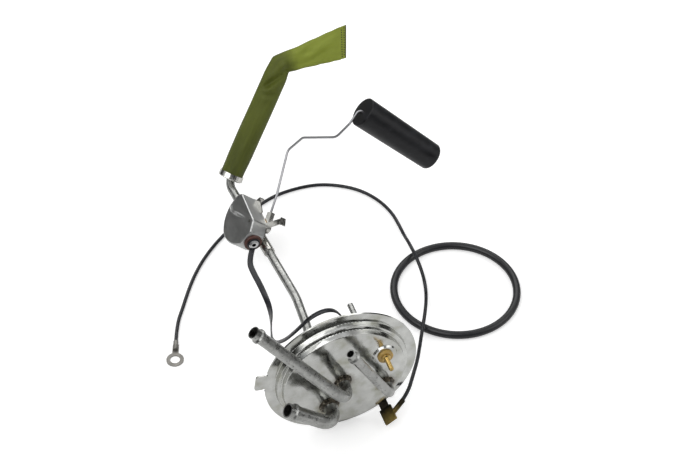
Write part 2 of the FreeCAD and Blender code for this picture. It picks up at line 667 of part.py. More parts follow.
def make_winding_tail():
    """A strip from the rivet's inner end to the winding's end."""
    inner = -HOUSING_FRONT + HOUSING_WALL + RIVET_TAIL
    end = Vector(*polar(CARD_R - CARD_THICK - WINDING_THICK - TAIL_THICK / 2 - TAIL_GAP,
                        CARD_FROM + CARD_END_GAP + 1.5), 0)
    start = Vector(inner + TAIL_THICK / 2, TERMINAL_T + TAIL_WIDTH / 2, 0)
    bend = Vector(inner + TAIL_THICK / 2, TERMINAL_T - TAIL_WIDTH, 0)
    strip = None
    for low, high in ((start, bend), (bend, end)):
        run = high - low
        bar = Part.makeBox(run.Length + TAIL_THICK / 2, TAIL_THICK, TAIL_WIDTH)
        bar.translate(Vector(0, -TAIL_THICK / 2, TERMINAL_M - TAIL_WIDTH / 2))
        bar.rotate(Vector(0, 0, 0), Vector(0, 0, 1), math.degrees(math.atan2(run.y, run.x)))
        bar.translate(low)
        strip = bar if strip is None else strip.fuse(bar)
    return place_sender(strip.removeSplitter())


def make_wiper():
    tip_r = CARD_R - CARD_THICK - WINDING_THICK - CONTACT_GAP
    reach = tip_r - CONTACT_LENGTH / 2
    hub = Part.makeCylinder(WIPER_HUB_D / 2, WIPER_HUB, Vector(0, 0, -WIPER_HUB / 2))
    strip = Part.makeBox(reach, WIPER_WIDTH, WIPER_THICK, Vector(0, -WIPER_WIDTH / 2, -WIPER_THICK / 2))
    strip = strip.fuse(hub).cut(Part.makeCylinder(SHAFT_D / 2, 6, Vector(0, 0, -3)))
    contact = Part.makeCylinder(CONTACT_D / 2, CONTACT_LENGTH,
                                Vector(tip_r - CONTACT_LENGTH, 0, WIPER_THICK / 2 + CONTACT_D / 2),
                                Vector(1, 0, 0))
    for piece in (strip, contact):
        piece.rotate(Vector(0, 0, 0), Vector(0, 0, 1), WIPER_ANGLE)
    return place_sender(strip), place_sender(contact)


def make_pivot_shaft():
    foot = -HALF_DEPTH + HOUSING_WALL + HUB_STANDOFF
    top = HALF_DEPTH + BACK_PLATE + HUB_STANDOFF + HUB_THICK
    shaft = Part.makeCylinder(SHAFT_D / 2, top - foot, Vector(0, 0, foot))
    spigot = Part.makeCylinder(SPIGOT_D / 2, foot + HALF_DEPTH, Vector(0, 0, -HALF_DEPTH))
    points = arm_points()
    return place_sender(shaft.fuse(spigot).cut(rod(points[0], points[1] - points[0], WIRE_D, 60)))


def arm_points():
    """The float arm's corners in the sender's local axes, from the hub to the float."""
    return [Vector(-3.2, -3.8, ARM_PLANE), Vector(16.0, 20.4, ARM_PLANE), Vector(40.4, 44.3, ARM_PLANE),
            Vector(37.6, 60.2, ARM_PLANE), Vector(11.0, 84.4, ARM_PLANE), Vector(10.2, 99.0, ARM_PLANE),
            Vector(13.0, 110.6, ARM_PLANE)]


def float_aim():
    skew = math.radians(FLOAT_SKEW)
    return Vector(-math.sin(skew), 0, math.cos(skew))


def make_float_arm():
    points = arm_points()
    points.append(points[-1] + float_aim() * (FLOAT_SETBACK + FLOAT_LENGTH + NUT_GAP
                                              + FLOAT_NUT_THICK + WIRE_TAIL))
    radii = [8.0, 5.0, 5.0, 8.0, 8.0, ARM_BEND_R]
    return place_sender(swept_rod(points, radii, WIRE_D))


def make_arm_hub():
    low = HALF_DEPTH + BACK_PLATE + HUB_STANDOFF
    body = Part.makeCylinder(HUB_D / 2, HUB_THICK, Vector(0, 0, low))
    clamp = Part.makeBox(12.0, 4.6, HUB_THICK, Vector(0, -2.3, low))
    direction = arm_points()[1] - arm_points()[0]
    clamp.rotate(Vector(0, 0, 0), Vector(0, 0, 1), math.degrees(math.atan2(direction.y, direction.x)))
    body = body.fuse(clamp).cut(Part.makeCylinder(SHAFT_D / 2, 20, Vector(0, 0, 0)))
    groove = rod(arm_points()[0], direction, WIRE_D, 60)
    return place_sender(body.cut(groove))


def make_float():
    face = arm_points()[-1] + float_aim() * FLOAT_SETBACK
    body = Part.makeCone(FLOAT_NEAR_D / 2, FLOAT_FAR_D / 2, FLOAT_LENGTH, face, float_aim())
    body = round_edges(body, FLOAT_ROUND, lambda edge: edge.Curve.TypeId == "Part::GeomCircle"
                       and abs(edge.Curve.Radius - FLOAT_FAR_D / 2) < 0.01)
    body = round_edges(body, 0.6, lambda edge: edge.Curve.TypeId == "Part::GeomCircle"
                       and abs(edge.Curve.Radius - FLOAT_NEAR_D / 2) < 0.01)
    bore = rod(face - float_aim(), float_aim(), WIRE_D + 2 * RUNNING_GAP, FLOAT_LENGTH + 4)
    nut_at = face + float_aim() * (FLOAT_LENGTH + NUT_GAP)
    nut = pipe(nut_at, float_aim(), NUT_OD, WIRE_D, FLOAT_NUT_THICK)
    return place_sender(body.cut(bore)), place_sender(nut)


def make_sender_terminal():
    way = Vector(-1, 0, 0)
    wall = Vector(-HOUSING_FRONT, TERMINAL_T, TERMINAL_M)
    washer = Part.makeCylinder(WASHER_D / 2, WASHER_THICK, wall, way)
    washer = round_edges(washer, 0.4, lambda edge: edge.CenterOfMass.x < wall.x - WASHER_THICK + 0.01)
    washer = washer.fuse(Part.makeCylinder(WASHER_D / 4 - FIT_GAP, HOUSING_WALL, wall, way * -1))
    washer = washer.cut(Part.makeCylinder(RIVET_D / 2, 12, wall + way * 6, way * -1))
    eyelet_at = wall + way * WASHER_THICK
    eyelet = Part.makeCylinder(EYELET_D / 2, EYELET_THICK, eyelet_at, way)
    eyelet = eyelet.cut(Part.makeCylinder(RIVET_D / 2, 12, wall + way * 6, way * -1))
    rivet = Part.makeCylinder(RIVET_D / 2, WASHER_THICK + EYELET_THICK + HOUSING_WALL + RIVET_TAIL,
                              eyelet_at + way * EYELET_THICK, way * -1)
    head = Part.makeCylinder(RIVET_D / 2 + 0.9, 0.6, eyelet_at + way * EYELET_THICK, way)
    rivet = rivet.fuse(head)
    rivet = rivet.cut(Part.makeCylinder(RIVET_HOLE_D / 2, 4, eyelet_at + way * (EYELET_THICK + 1), way * -1))
    return place_sender(washer), place_sender(eyelet), place_sender(rivet)


def make_ground_spring():
    """A bronze leaf riveted to the back plate, with its raised end by the hub."""
    top = HALF_DEPTH + BACK_PLATE
    start = HUB_D / 2 + 8.0
    leaf = Part.makeBox(SPRING_FOOT, SPRING_WIDTH, SPRING_THICK, Vector(start, SPRING_AT, top))
    near = HUB_D / 2 - SPRING_LAP
    ends = [(start + 0.5, top), (near, top + SPRING_RISE), (near, top + SPRING_RISE + SPRING_THICK),
            (start + 0.5, top + SPRING_THICK)]
    slope = Part.makePolygon([Vector(s, SPRING_AT, m) for s, m in ends + ends[:1]])
    slope = Part.Face(slope).extrude(Vector(0, SPRING_WIDTH, 0))
    rivet_at = Vector(start + SPRING_FOOT / 2, SPRING_AT + SPRING_WIDTH / 2, top + SPRING_THICK)
    rivet = Part.makeSphere(SPRING_WIDTH / 2, rivet_at, Vector(0, 0, 1), 0, 90, 360)
    return place_sender(leaf.fuse(slope).removeSplitter()), place_sender(rivet)


def make_sock_collar():
    """A cup on the pick-up tube's bent end, brazed where the tube goes through its floor."""
    aim = unit(SOCK_AIM)
    points, radii = pickup_route()
    outer = SOCK_D / 2 + COLLAR_WALL
    cup = turned([(0, 0), (outer - 0.8, 0), (outer, 0.8), (outer, COLLAR_HEIGHT),
                  (SOCK_D / 2, COLLAR_HEIGHT), (SOCK_D / 2, COLLAR_FLOOR), (0, COLLAR_FLOOR)],
                 NECK_CORNER + aim * COLLAR_AT, aim)
    return cup.cut(swept_rod(points[-3:], radii[-1:], PICKUP_OD))


def sock_row(centre, across, along, width, thick):
    """The oval edge of one section of the sock: its flat width lies along ACROSS."""
    across = unit(across)
    through = unit(unit(along).cross(across))
    return turn_to(Part.Ellipse(Vector(0, 0, 0), width / 2, thick / 2).toShape(), centre, across, through)


def sock_rows(sections):
    """Oval edges through SECTIONS of (centre, across, along, width, thickness), with more between them."""
    rows = []
    for low, high in zip(sections, sections[1:]):
        for step in range(SOCK_STEPS):
            share = step / SOCK_STEPS
            ease = share * share * (3 - 2 * share)
            rows.append(sock_row(low[0] + (high[0] - low[0]) * share,
                                 unit(low[1]) * (1 - share) + unit(high[1]) * share,
                                 unit(low[2]) * (1 - share) + unit(high[2]) * share,
                                 low[3] + (high[3] - low[3]) * ease, low[4] + (high[4] - low[4]) * ease))
    return rows + [sock_row(*sections[-1])]


def make_sock():
    """A tube of woven mesh, folded once, that flattens to a welded end."""
    aim, out = unit(SOCK_AIM), unit(SOCK_OUT)
    start = NECK_CORNER + aim * (COLLAR_AT + COLLAR_FLOOR + SOFT_GAP)
    fold = NECK_CORNER + aim * (COLLAR_AT + SOCK_LOWER)
    neck = SOCK_D - 2 * SOFT_GAP
    sections = [
        (start, SOCK_ACROSS, aim, neck, neck - 0.1),
        (start + aim * COLLAR_HEIGHT, SOCK_ACROSS, aim, neck, neck - 0.1),
        (start + aim * (SOCK_LOWER * 0.2), SOCK_ACROSS, aim, SOCK_BODY_D, SOCK_BODY_D * 0.95),
        (start + aim * (SOCK_LOWER * 0.8), SOCK_ACROSS, aim, SOCK_BODY_D, SOCK_BODY_D * 0.75),
        (fold, FOLD_ACROSS, aim + out, SOCK_FOLD_WIDTH, SOCK_FOLD_THICK),
        (fold + out * (SOCK_UPPER * 0.25), OUT_ACROSS, out, SOCK_FOLD_WIDTH, SOCK_FOLD_THICK),
        (fold + out * SOCK_UPPER, END_ACROSS, out, SOCK_END_WIDTH, SOCK_END_THICK)]
    rows = sock_rows(sections)
    faces = [Part.makeRuledSurface(low, high) for low, high in zip(rows, rows[1:])]
    faces += [Part.Face(Part.Wire([rows[0]])), Part.Face(Part.Wire([rows[-1]]))]
    shell = Part.Shell(faces)
    shell.sewShape()
    body = Part.Solid(shell)
    if body.Volume < 0:
        body.reverse()
    points, radii = pickup_route()
    points[-1] = points[-1] + aim * (4 * SOFT_GAP)
    return body.cut(swept_rod(points[-3:], radii[-1:], PICKUP_OD + 2 * SOFT_GAP))


def make_seal_ring():
    centre = Vector(SEAL_AT[0], SEAL_AT[1], FLOOR + SEAL_SECTION_D / 2)
    return Part.makeTorus(SEAL_MEAN_R, SEAL_SECTION_D / 2, centre, Vector(0, 0, 1))


def make_ground_lead():
    start, way = barrel_line()
    mouth = start + way * (FLAG_LENGTH / 4)
    points = [mouth, start + way * (BARREL_LENGTH + 4)] + [Vector(*row) for row in GROUND_ROUTE]
    return cord(points, GROUND_LEAD_D, "ground_lead")


def make_ring_terminal():
    """The lead's far end: a crimp and a flat ring that lies on the surface."""
    last = Vector(*GROUND_ROUTE[-1])
    way = unit(last - Vector(*GROUND_ROUTE[-2]))
    side = Vector(0, 0, 1).cross(way)
    flat = Vector(last.x, last.y, FLOOR) + way * 1.0
    centre = flat + way * (CRIMP_LENGTH + RING_TERMINAL_OD / 2 - 0.5)
    ring = rod(centre, Vector(0, 0, 1), RING_TERMINAL_OD, RING_THICK)
    tongue = Part.makeBox(CRIMP_LENGTH + 2, 4.4, RING_THICK)
    tongue = turn_to(tongue, flat - side * 2.2, way, side)
    bore = rod(centre - Vector(0, 0, 1), Vector(0, 0, 1), RING_TERMINAL_BORE, 4)
    crimp = rod(last - way * 1.5, way, GROUND_LEAD_D + 0.9, CRIMP_LENGTH)
    crimp = crimp.cut(rod(last - way * 3, way, GROUND_LEAD_D, 3.0))
    below = Part.makeBox(400, 400, 20, Vector(-200, 0, FLOOR - 20))
    return ring.fuse(tongue).fuse(crimp).cut(bore).cut(below).removeSplitter()


def sender_route():
    """The sender lead's corners, stretched with the unit's length."""
    return [Vector(x, y * STRETCH, z) for x, y, z in SENDER_ROUTE]


def make_sender_lead():
    eyelet = sender_point(-HOUSING_FRONT - WASHER_THICK - EYELET_THICK / 2, TERMINAL_T, TERMINAL_M)
    way = unit(sender_route()[0] - eyelet)
    start = eyelet + way * (EYELET_D / 2 + 0.1)
    mouth, ring_way = lead_ring_mouth()
    points = [start] + sender_route() + [mouth + ring_way * LAST_RUN, mouth]
    return cord(points, SENDER_LEAD_D, "sender_lead")


def main():
    os.makedirs("parts", exist_ok=True)
    stud, outer_insulator, inner_insulator, lead_ring, nut = make_gauge_terminal()
    washer, eyelet, rivet = make_sender_terminal()
    card, winding = make_resistor()
    wiper, contact = make_wiper()
    spring, spring_rivet = make_ground_spring()
    float_body, retainer = make_float()
    nodes = {
        "cover_plate": make_cover(),
        "ground_blade": make_ground_blade(),
        "feed_tube": make_feed_tube(),
        "return_tube": make_return_tube(),
        "vent_tube": make_vent_tube(),
        "feed_braze_ring": make_braze_ring(FEED_AT, FEED_OD),
        "return_braze_ring": make_braze_ring(RETURN_AT, RETURN_OD),
        "vent_braze_ring": make_braze_ring(VENT_AT, VENT_OD),
        "terminal_stud": stud,
        "outer_insulator": outer_insulator,
        "inner_insulator": inner_insulator,
        "lead_ring": lead_ring,
        "stud_nut": nut,
        "sender_lead": make_sender_lead(),
        "insulator_washer": washer,
        "terminal_eyelet": eyelet,
        "terminal_rivet": rivet,
        "sender_housing": make_housing(),
        "housing_back_plate": make_back_plate(),
        "tube_bracket": make_tube_bracket(),
        "resistor_card": card,
        "resistance_winding": winding,
        "winding_tail": make_winding_tail(),
        "wiper_arm": wiper,
        "wiper_contact": contact,
        "pivot_shaft": make_pivot_shaft(),
        "arm_hub": make_arm_hub(),
        "ground_spring": spring,
        "spring_rivet": spring_rivet,
        "float_arm": make_float_arm(),
        "float": float_body,
        "float_retainer": retainer,
        "sock_collar": make_sock_collar(),
        "filter_sock": make_sock(),
        "ground_terminal": make_ground_terminal(),
        "ground_lead": make_ground_lead(),
        "ring_terminal": make_ring_terminal(),
        "seal_ring": make_seal_ring(),
    }
    for name, shape in nodes.items():
        shape.exportStep(os.path.join("parts", name + ".step"))
        box = shape.BoundBox
        print(name, len(shape.Solids), shape.isValid(), round(shape.Volume, 1),
              [round(v, 1) for v in (box.XMin, box.YMin, box.ZMin, box.XMax, box.YMax, box.ZMax)])


main()
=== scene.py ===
"""Dresses the fuel tank sending unit: its two leads, woven sock, brazed joints, screw thread,
resistance wire, arm wire, drawn housing and finishes, on a plain pale stage."""

import math

import bmesh
import bpy
from mathutils import Matrix, Vector, noise


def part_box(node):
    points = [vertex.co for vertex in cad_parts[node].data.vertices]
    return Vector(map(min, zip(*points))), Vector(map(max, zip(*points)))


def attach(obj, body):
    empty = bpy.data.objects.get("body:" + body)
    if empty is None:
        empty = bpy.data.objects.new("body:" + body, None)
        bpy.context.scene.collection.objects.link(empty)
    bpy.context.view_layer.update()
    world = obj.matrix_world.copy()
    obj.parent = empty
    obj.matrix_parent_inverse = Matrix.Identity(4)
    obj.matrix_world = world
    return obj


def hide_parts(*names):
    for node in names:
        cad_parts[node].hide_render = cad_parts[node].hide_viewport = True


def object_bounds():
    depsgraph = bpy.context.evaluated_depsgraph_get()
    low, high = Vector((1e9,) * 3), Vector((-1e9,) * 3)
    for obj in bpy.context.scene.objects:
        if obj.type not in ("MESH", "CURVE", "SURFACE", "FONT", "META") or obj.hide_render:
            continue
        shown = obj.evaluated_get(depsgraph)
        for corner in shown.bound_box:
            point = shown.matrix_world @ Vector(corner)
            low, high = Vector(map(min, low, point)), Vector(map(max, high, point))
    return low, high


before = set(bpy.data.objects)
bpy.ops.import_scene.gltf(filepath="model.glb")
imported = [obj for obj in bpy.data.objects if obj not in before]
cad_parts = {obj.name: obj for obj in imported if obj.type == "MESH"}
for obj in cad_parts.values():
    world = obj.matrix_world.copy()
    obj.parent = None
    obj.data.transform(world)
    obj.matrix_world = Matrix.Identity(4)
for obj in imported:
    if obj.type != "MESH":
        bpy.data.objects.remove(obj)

bl_info = {
    "name": "Fuel tank sending unit",
    "version": (1, 0, 0),
    "blender": (4, 5, 0),
    "location": "View3D > Sidebar > Sending Unit",
    "description": "Builds the looks of a fuel tank sending unit round its packed model",
    "category": "Object",
}

# Places and sizes are in millimetres, save those of the camera's place, the lamps and the floor
MM = 0.001
CAD_BOX = [list(corner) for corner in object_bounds()]
FLOOR_HEIGHT = CAD_BOX[0][2]

# The photograph's frame and where its camera stood
PHOTO_WIDTH = 683
CAMERA_FOCUS_PIXELS = 1600.0
SENSOR_WIDTH = 36.0
CAMERA_AZIMUTH = -18.79
CAMERA_ELEVATION = 44.33
CAMERA_AT = Vector((-218.8, -643.5, 794.6)) * MM

# Lamps: place, size and power
LAMP_AIM = Vector((0.0, 0.1, 0.0))
LAMPS = {
    "key": ((-0.9, -0.4, 1.6), (1.7, 1.7), 18.0),
    "fill": ((1.4, -0.6, 1.1), (1.3, 1.6), 7.0),
    "back": ((0.2, 1.6, 1.2), (2.2, 0.8), 9.0),
}

# The studio that metal mirrors: its brightness from straight down to straight up, the way to its
# dark part, and the light that it sheds on everything
STUDIO_WALLS = [
    (0.0, (0.10, 0.10, 0.10)), (0.08, (0.030, 0.030, 0.028)), (0.34, (0.06, 0.06, 0.056)),
    (0.5, (0.55, 0.56, 0.57)), (0.66, (1.15, 1.15, 1.13)), (0.86, (0.40, 0.40, 0.40)),
    (1.0, (0.85, 0.86, 0.88))]
DARK_SIDE = Vector((-0.23, -0.68, 0.70))
FILL_LIGHT = 0.42

# The floor: its tone, how far it lies below the unit, and where and how far metal mirrors it
FLOOR_TONE = (0.86, 0.86, 0.86)
FLOOR_DROP = 0.0002
MIRRORED_AT = (0.03, 0.06, FLOOR_HEIGHT)
MIRRORED_REACH = 0.9

# The ground lead's route from its flag terminal to its ring terminal
GROUND_LEAD_ROUTE = [
    (35.27, -9.97, -40.99), (44.62, -5.87, -34.68), (53.5, 6.5, -30.8), (62, 20.5, -34),
    (69.5, 35.5, -38.8), (77, 50.5, -42), (85, 65.5, -42), (92, 81, -45.5), (97.5, 96, -50.2),
    (100, 108, -49.2), (99.2, 119.5, -42.1), (99.2, 136, -42.1), (101, 150, -48.6),
    (102, 164, -50.6), (101.5, 179, -50.5), (96.5, 195.5, -50.6), (87, 210, -50.5),
    (73.5, 220.5, -50.6), (57.5, 227, -50.5), (40, 228, -50.6), (23, 225.5, -50.5),
    (7.5, 219, -50.6), (-7.5, 210, -50.5), (-21.5, 200.5, -50.6), (-35, 189.5, -50.5),
    (-47, 177.5, -50.6), (-57.5, 164, -50.5), (-66.5, 149.5, -50.6), (-74.5, 134.5, -50.5),
    (-83, 119.5, -50.6), (-88, 103, -50.6)]

# The flat sender lead's route from the housing's terminal to the stud's ring
SENDER_LEAD_ROUTE = [
    (-18.82, 141.99, -15.66), (-24.5, 132.5, -18), (-24.5, 120.5, -18), (-23.5, 109, -18),
    (-23, 97, -18.5), (-23.5, 85.5, -17), (-25.5, 74, -14), (-28.5, 63.5, -10), (-31.5, 53.5, -4.5),
    (-34, 43.5, 1.5), (-36, 34.5, 8.5), (-37, 25, 16), (-37, 16.5, 24), (-34, 9.5, 33),
    (-27.5, 6.5, 42.5), (-18, 7.5, 50.5), (-6.5, 10.5, 50.5), (2, 12, 44.5), (5.5, 6.5, 36.5),
    (11.05, -3.7, 30.01), (21.09, -3.7, 20.25)]

# Which way the flat lead's width lies, at shares of its length
SENDER_LEAD_WIDTH_WAYS = [
    (0.0, (0.92, 0.2, 0.25)), (0.16, (0.95, 0.0, 0.25)), (0.26, (0.75, 0.1, 0.65)),
    (0.36, (-0.1, -0.45, 0.85)), (0.55, (-0.25, -0.65, 0.7)), (0.7, (-0.2, -0.9, 0.3)),
    (0.85, (0.1, -0.95, 0.2)), (1.0, (0.2, -0.95, 0.15))]

# The sock's centre line, and which way its flat width lies at distances along it
SOCK_START = Vector((-12.3, 222.9, -18.8))
SOCK_FOLD = Vector((40.72, 259.9, 47.72))
SOCK_END = Vector((91.74, 258.43, 57.64))
FOLD_AT = (SOCK_FOLD - SOCK_START).length
SOCK_LENGTH = FOLD_AT + (SOCK_END - SOCK_FOLD).length
SOCK_LINE = [(0.0, SOCK_START), (FOLD_AT, SOCK_FOLD), (SOCK_LENGTH, SOCK_END)]
SOCK_WIDTH_WAYS = [
    (0.0, (0.776, -0.558, -0.286)), (FOLD_AT - 12, (0.776, -0.558, -0.286)),
    (FOLD_AT, (0.531, -0.690, -0.494)), (FOLD_AT + 13, (0.085, -0.730, -0.678)),
    (SOCK_LENGTH, (-0.225, -0.662, -0.715))]

# The diameter and end width that the sock's sizes are drawn for, the width of its weave's map, the
# cloth's flat width, thickness and thread spacing, half the fold's length, and the mesh's fineness
DRAWN_DIAMETER = 17.6
DRAWN_END_WIDTH = 24.6
CLOTH_ROUND = 55.0
CLOTH_THICK = 0.3
WEAVE = 0.45
TURN_LENGTH = 1.4
SOCK_SIDES = 96
SOCK_SPACING = 0.9

# The sock's width and thickness at distances along it
SOCK_SIZES = [
    (0.0, (16.9, 16.7)), (5.0, (17.0, 16.6)), (18.0, (17.8, 16.6)), (45.0, (17.9, 15.4)),
    (66.0, (17.9, 13.6)), (FOLD_AT - 12, (17.7, 11.0)), (FOLD_AT, (16.7, 8.6)),
    (FOLD_AT + 13, (16.8, 8.6)), (FOLD_AT + 28, (19.8, 7.0)), (FOLD_AT + 40, (22.4, 4.0)),
    (SOCK_LENGTH - 5.2, (24.2, 1.5)), (SOCK_LENGTH, (24.8, 1.2))]

# Creases: two ends as (share across from -1 to 1, distance along), depth share, half width
CREASES = [
    ((0.95, FOLD_AT), (-0.65, FOLD_AT - 24.0), 2.1, 2.1),
    ((0.7, FOLD_AT - 23.0), (-0.45, FOLD_AT - 26.0), 1.3, 1.8),
    ((0.9, FOLD_AT + 1.0), (0.1, SOCK_LENGTH - 8.0), 1.7, 2.4),
    ((0.85, FOLD_AT + 1.0), (-0.5, FOLD_AT + 28.0), 1.3, 2.6),
    ((0.9, FOLD_AT + 1.0), (-0.95, FOLD_AT + 13.0), 1.1, 2.0),
    ((-0.3, 8.0), (-0.1, FOLD_AT - 30.0), 0.3, 2.6),
    ((0.55, 4.0), (0.3, 60.0), 0.3, 2.2)]

# The dimples of the sock's welded end
WELD_LINES = 2
WELD_COLUMNS = 12
WELD_SETBACK = 1.6
WELD_STEP = 1.9

# The float arm's corners from its hub to its tip beyond the float, its bends and its wire
ARM_ROUTE = [
    (-7.17, 153.0, -15.83), (9.33, 172.2, 1.87), (25.63, 196.6, 19.35), (36.48, 193.8, 30.98),
    (52.98, 167.2, 48.68), (62.94, 166.4, 59.36), (70.85, 169.2, 67.84), (124.03, 154.41, 18.25)]
ARM_RADII = [8.0, 5.0, 5.0, 8.0, 8.0, 3.0]
ARM_WIRE = 1.7

# The middle of the sender's eyelet, where it lies on its washer, and the lead's ring round it
EYELET_FOOT = (-16.97, 145.6, -14.89)
SHEATH_INNER_R = 3.66
SHEATH_OUTER_R = 4.7

# The stud's axis, the heights of its parts along it, and its sizes
STUD_X = 26.9
STUD_Z = 14.6
STUD_TIP = -21.3
STUD_FLANGE_TOP = -11.3
STUD_FLANGE_FOOT = -10.3
STUD_INNER_END = -0.9
STUD_R = 1.65
STUD_FLANGE_R = 3.2
STUD_CHAMFER = 0.5
FLANGE_CHAMFER = 0.15
THREAD_DEPTH = 0.24
THREAD_START = 0.3
SLICES_PER_PITCH = 8
STUD_SIDES = 40

# The tubes' centres on the cover, their outside diameters and the cover's face
FACE_Y = -7.5
TUBE_ROOTS = {"feed": (-10.7, -22.0, 9.525), "return": (-1.3, -1.7, 7.94), "vent": (28.8, -14.0, 6.35)}
FILLET_HEIGHT = 2.4

# The sender's local axes: S along the unit, T across it and M through its depth
PIVOT = Vector((-11.6, 156.2, -6.5))
PIVOT_TILT = math.radians(47.0)
AXIS_S = Vector((0, 1, 0))
AXIS_M = Vector((math.sin(PIVOT_TILT), 0, -math.cos(PIVOT_TILT)))
AXIS_T = AXIS_M.cross(AXIS_S)

# The housing's face along M, the two marks pressed in it as (S, T) of their ends, and its edges
FACE_M = -6.5
PRESSED_MARKS = [((6.9, -3.0), (22.0, -10.7)), ((22.6, -10.2), (27.2, -8.9))]
HOUSING_ROUND = 1.0
SHARP_ANGLE = math.radians(35)

# The winding: its radius, the angles of its first and last turn, its height along M and its wire
WINDING_R = 17.42
WINDING_FROM = -97.5
WINDING_TO = -1.5
WINDING_HEIGHT = 0.4
WINDING_WIRE_R = 0.14
WINDING_WIRE_LENGTH = 9.6


def length_setting(label, says, default):
    return bpy.props.FloatProperty(name=label, description=says, default=default, unit="LENGTH")


def colour_setting(label, says, default):
    return bpy.props.FloatVectorProperty(
        name=label, description=says, default=default, subtype="COLOR", min=0, max=1)


class SockSettings(bpy.types.PropertyGroup):
    diameter: length_setting("Diameter", "Across the sock's round leg", DRAWN_DIAMETER * MM)
    end_width: length_setting("End width", "Across its flat welded end", DRAWN_END_WIDTH * MM)
    crease_depth: length_setting("Crease depth", "How deep its creases are", 1.1 * MM)
    dimple_size: length_setting("Weld dimple", "Across one dimple of the welded edge", 1.15 * MM)
    mesh_colour: colour_setting("Mesh", "Colour of the woven mesh", (0.262, 0.312, 0.038))


class LeadSettings(bpy.types.PropertyGroup):
    ground_diameter: length_setting("Ground lead", "Diameter of the round ground lead", 2.6 * MM)
    strip_width: length_setting("Sender lead width", "Width of the flat sender lead", 4.2 * MM)
    strip_thickness: length_setting(
        "Sender lead thickness", "Thickness of the flat sender lead", 1.2 * MM)
    sheath_colour: colour_setting("Sheath", "Colour of the leads' covering", (0.006, 0.0065, 0.0085))


class MetalSettings(bpy.types.PropertyGroup):
    zinc_colour: colour_setting("Zinc", "Colour of the plated steel", (0.56, 0.565, 0.545))
    brass_colour: colour_setting("Brass", "Colour of clean brass", (0.66, 0.46, 0.16))
    braze_width: length_setting("Braze width", "How far a brazed fillet spreads", 1.7 * MM)
    thread_pitch: length_setting("Thread pitch", "From one thread of the stud to the next", 0.8 * MM)
    winding_turns: bpy.props.IntProperty(
        name="Winding turns", description="Turns of wire on the resistor card", default=96, min=8)


class StageSettings(bpy.types.PropertyGroup):
    floor_size: length_setting("Floor", "Length of the floor's sides", 9.0)
    floor_glow: bpy.props.FloatProperty(
        name="Floor glow", description="Light that the floor shows to the camera only", default=0.42)


# Finishes

class Nodes:
    """Adds nodes to a tree and joins them."""

    def __init__(self, tree):
        self.tree = tree

    def feed(self, socket, value):
        """Joins an output to SOCKET, or sets a plain value there."""
        if isinstance(value, bpy.types.NodeSocket):
            self.tree.links.new(value, socket)
        else:
            socket.default_value = value

    def node(self, kind, **inputs):
        made = self.tree.nodes.new(kind)
        for name, value in inputs.items():
            self.feed(made.inputs[name.replace("_", " ")], value)
        return made

    def calculate(self, operation, *values):
        made = self.node("ShaderNodeMath")
        made.operation = operation
        for socket, value in zip(made.inputs, values):
            self.feed(socket, value)
        return made.outputs["Value"]

    def span(self, value, low, high, start=0.0, end=1.0):
        """LOW to HIGH while VALUE goes from START to END."""
        return self.node("ShaderNodeMapRange", Value=value, From_Min=start, From_Max=end,
                         To_Min=low, To_Max=high).outputs["Result"]

    def ramp(self, value, stops):
        """Colours by VALUE, between stops of (value, colour)."""
        made = self.node("ShaderNodeValToRGB", Fac=value)
        elements = made.color_ramp.elements
        for index, (position, colour) in enumerate(stops):
            stop = elements[index] if index < 2 else elements.new(position)
            stop.position = position
            stop.color = (*colour, 1.0)
        return made.outputs["Color"]

    def seen_only(self):
        """Two switches: one for rays that the camera or glass sees, one for rays that a mirror sees."""
        path = self.node("ShaderNodeLightPath").outputs
        seen = self.calculate("MAXIMUM", path["Is Camera Ray"], path["Is Transmission Ray"])
        return seen, path["Is Glossy Ray"]


FINISHES = {}


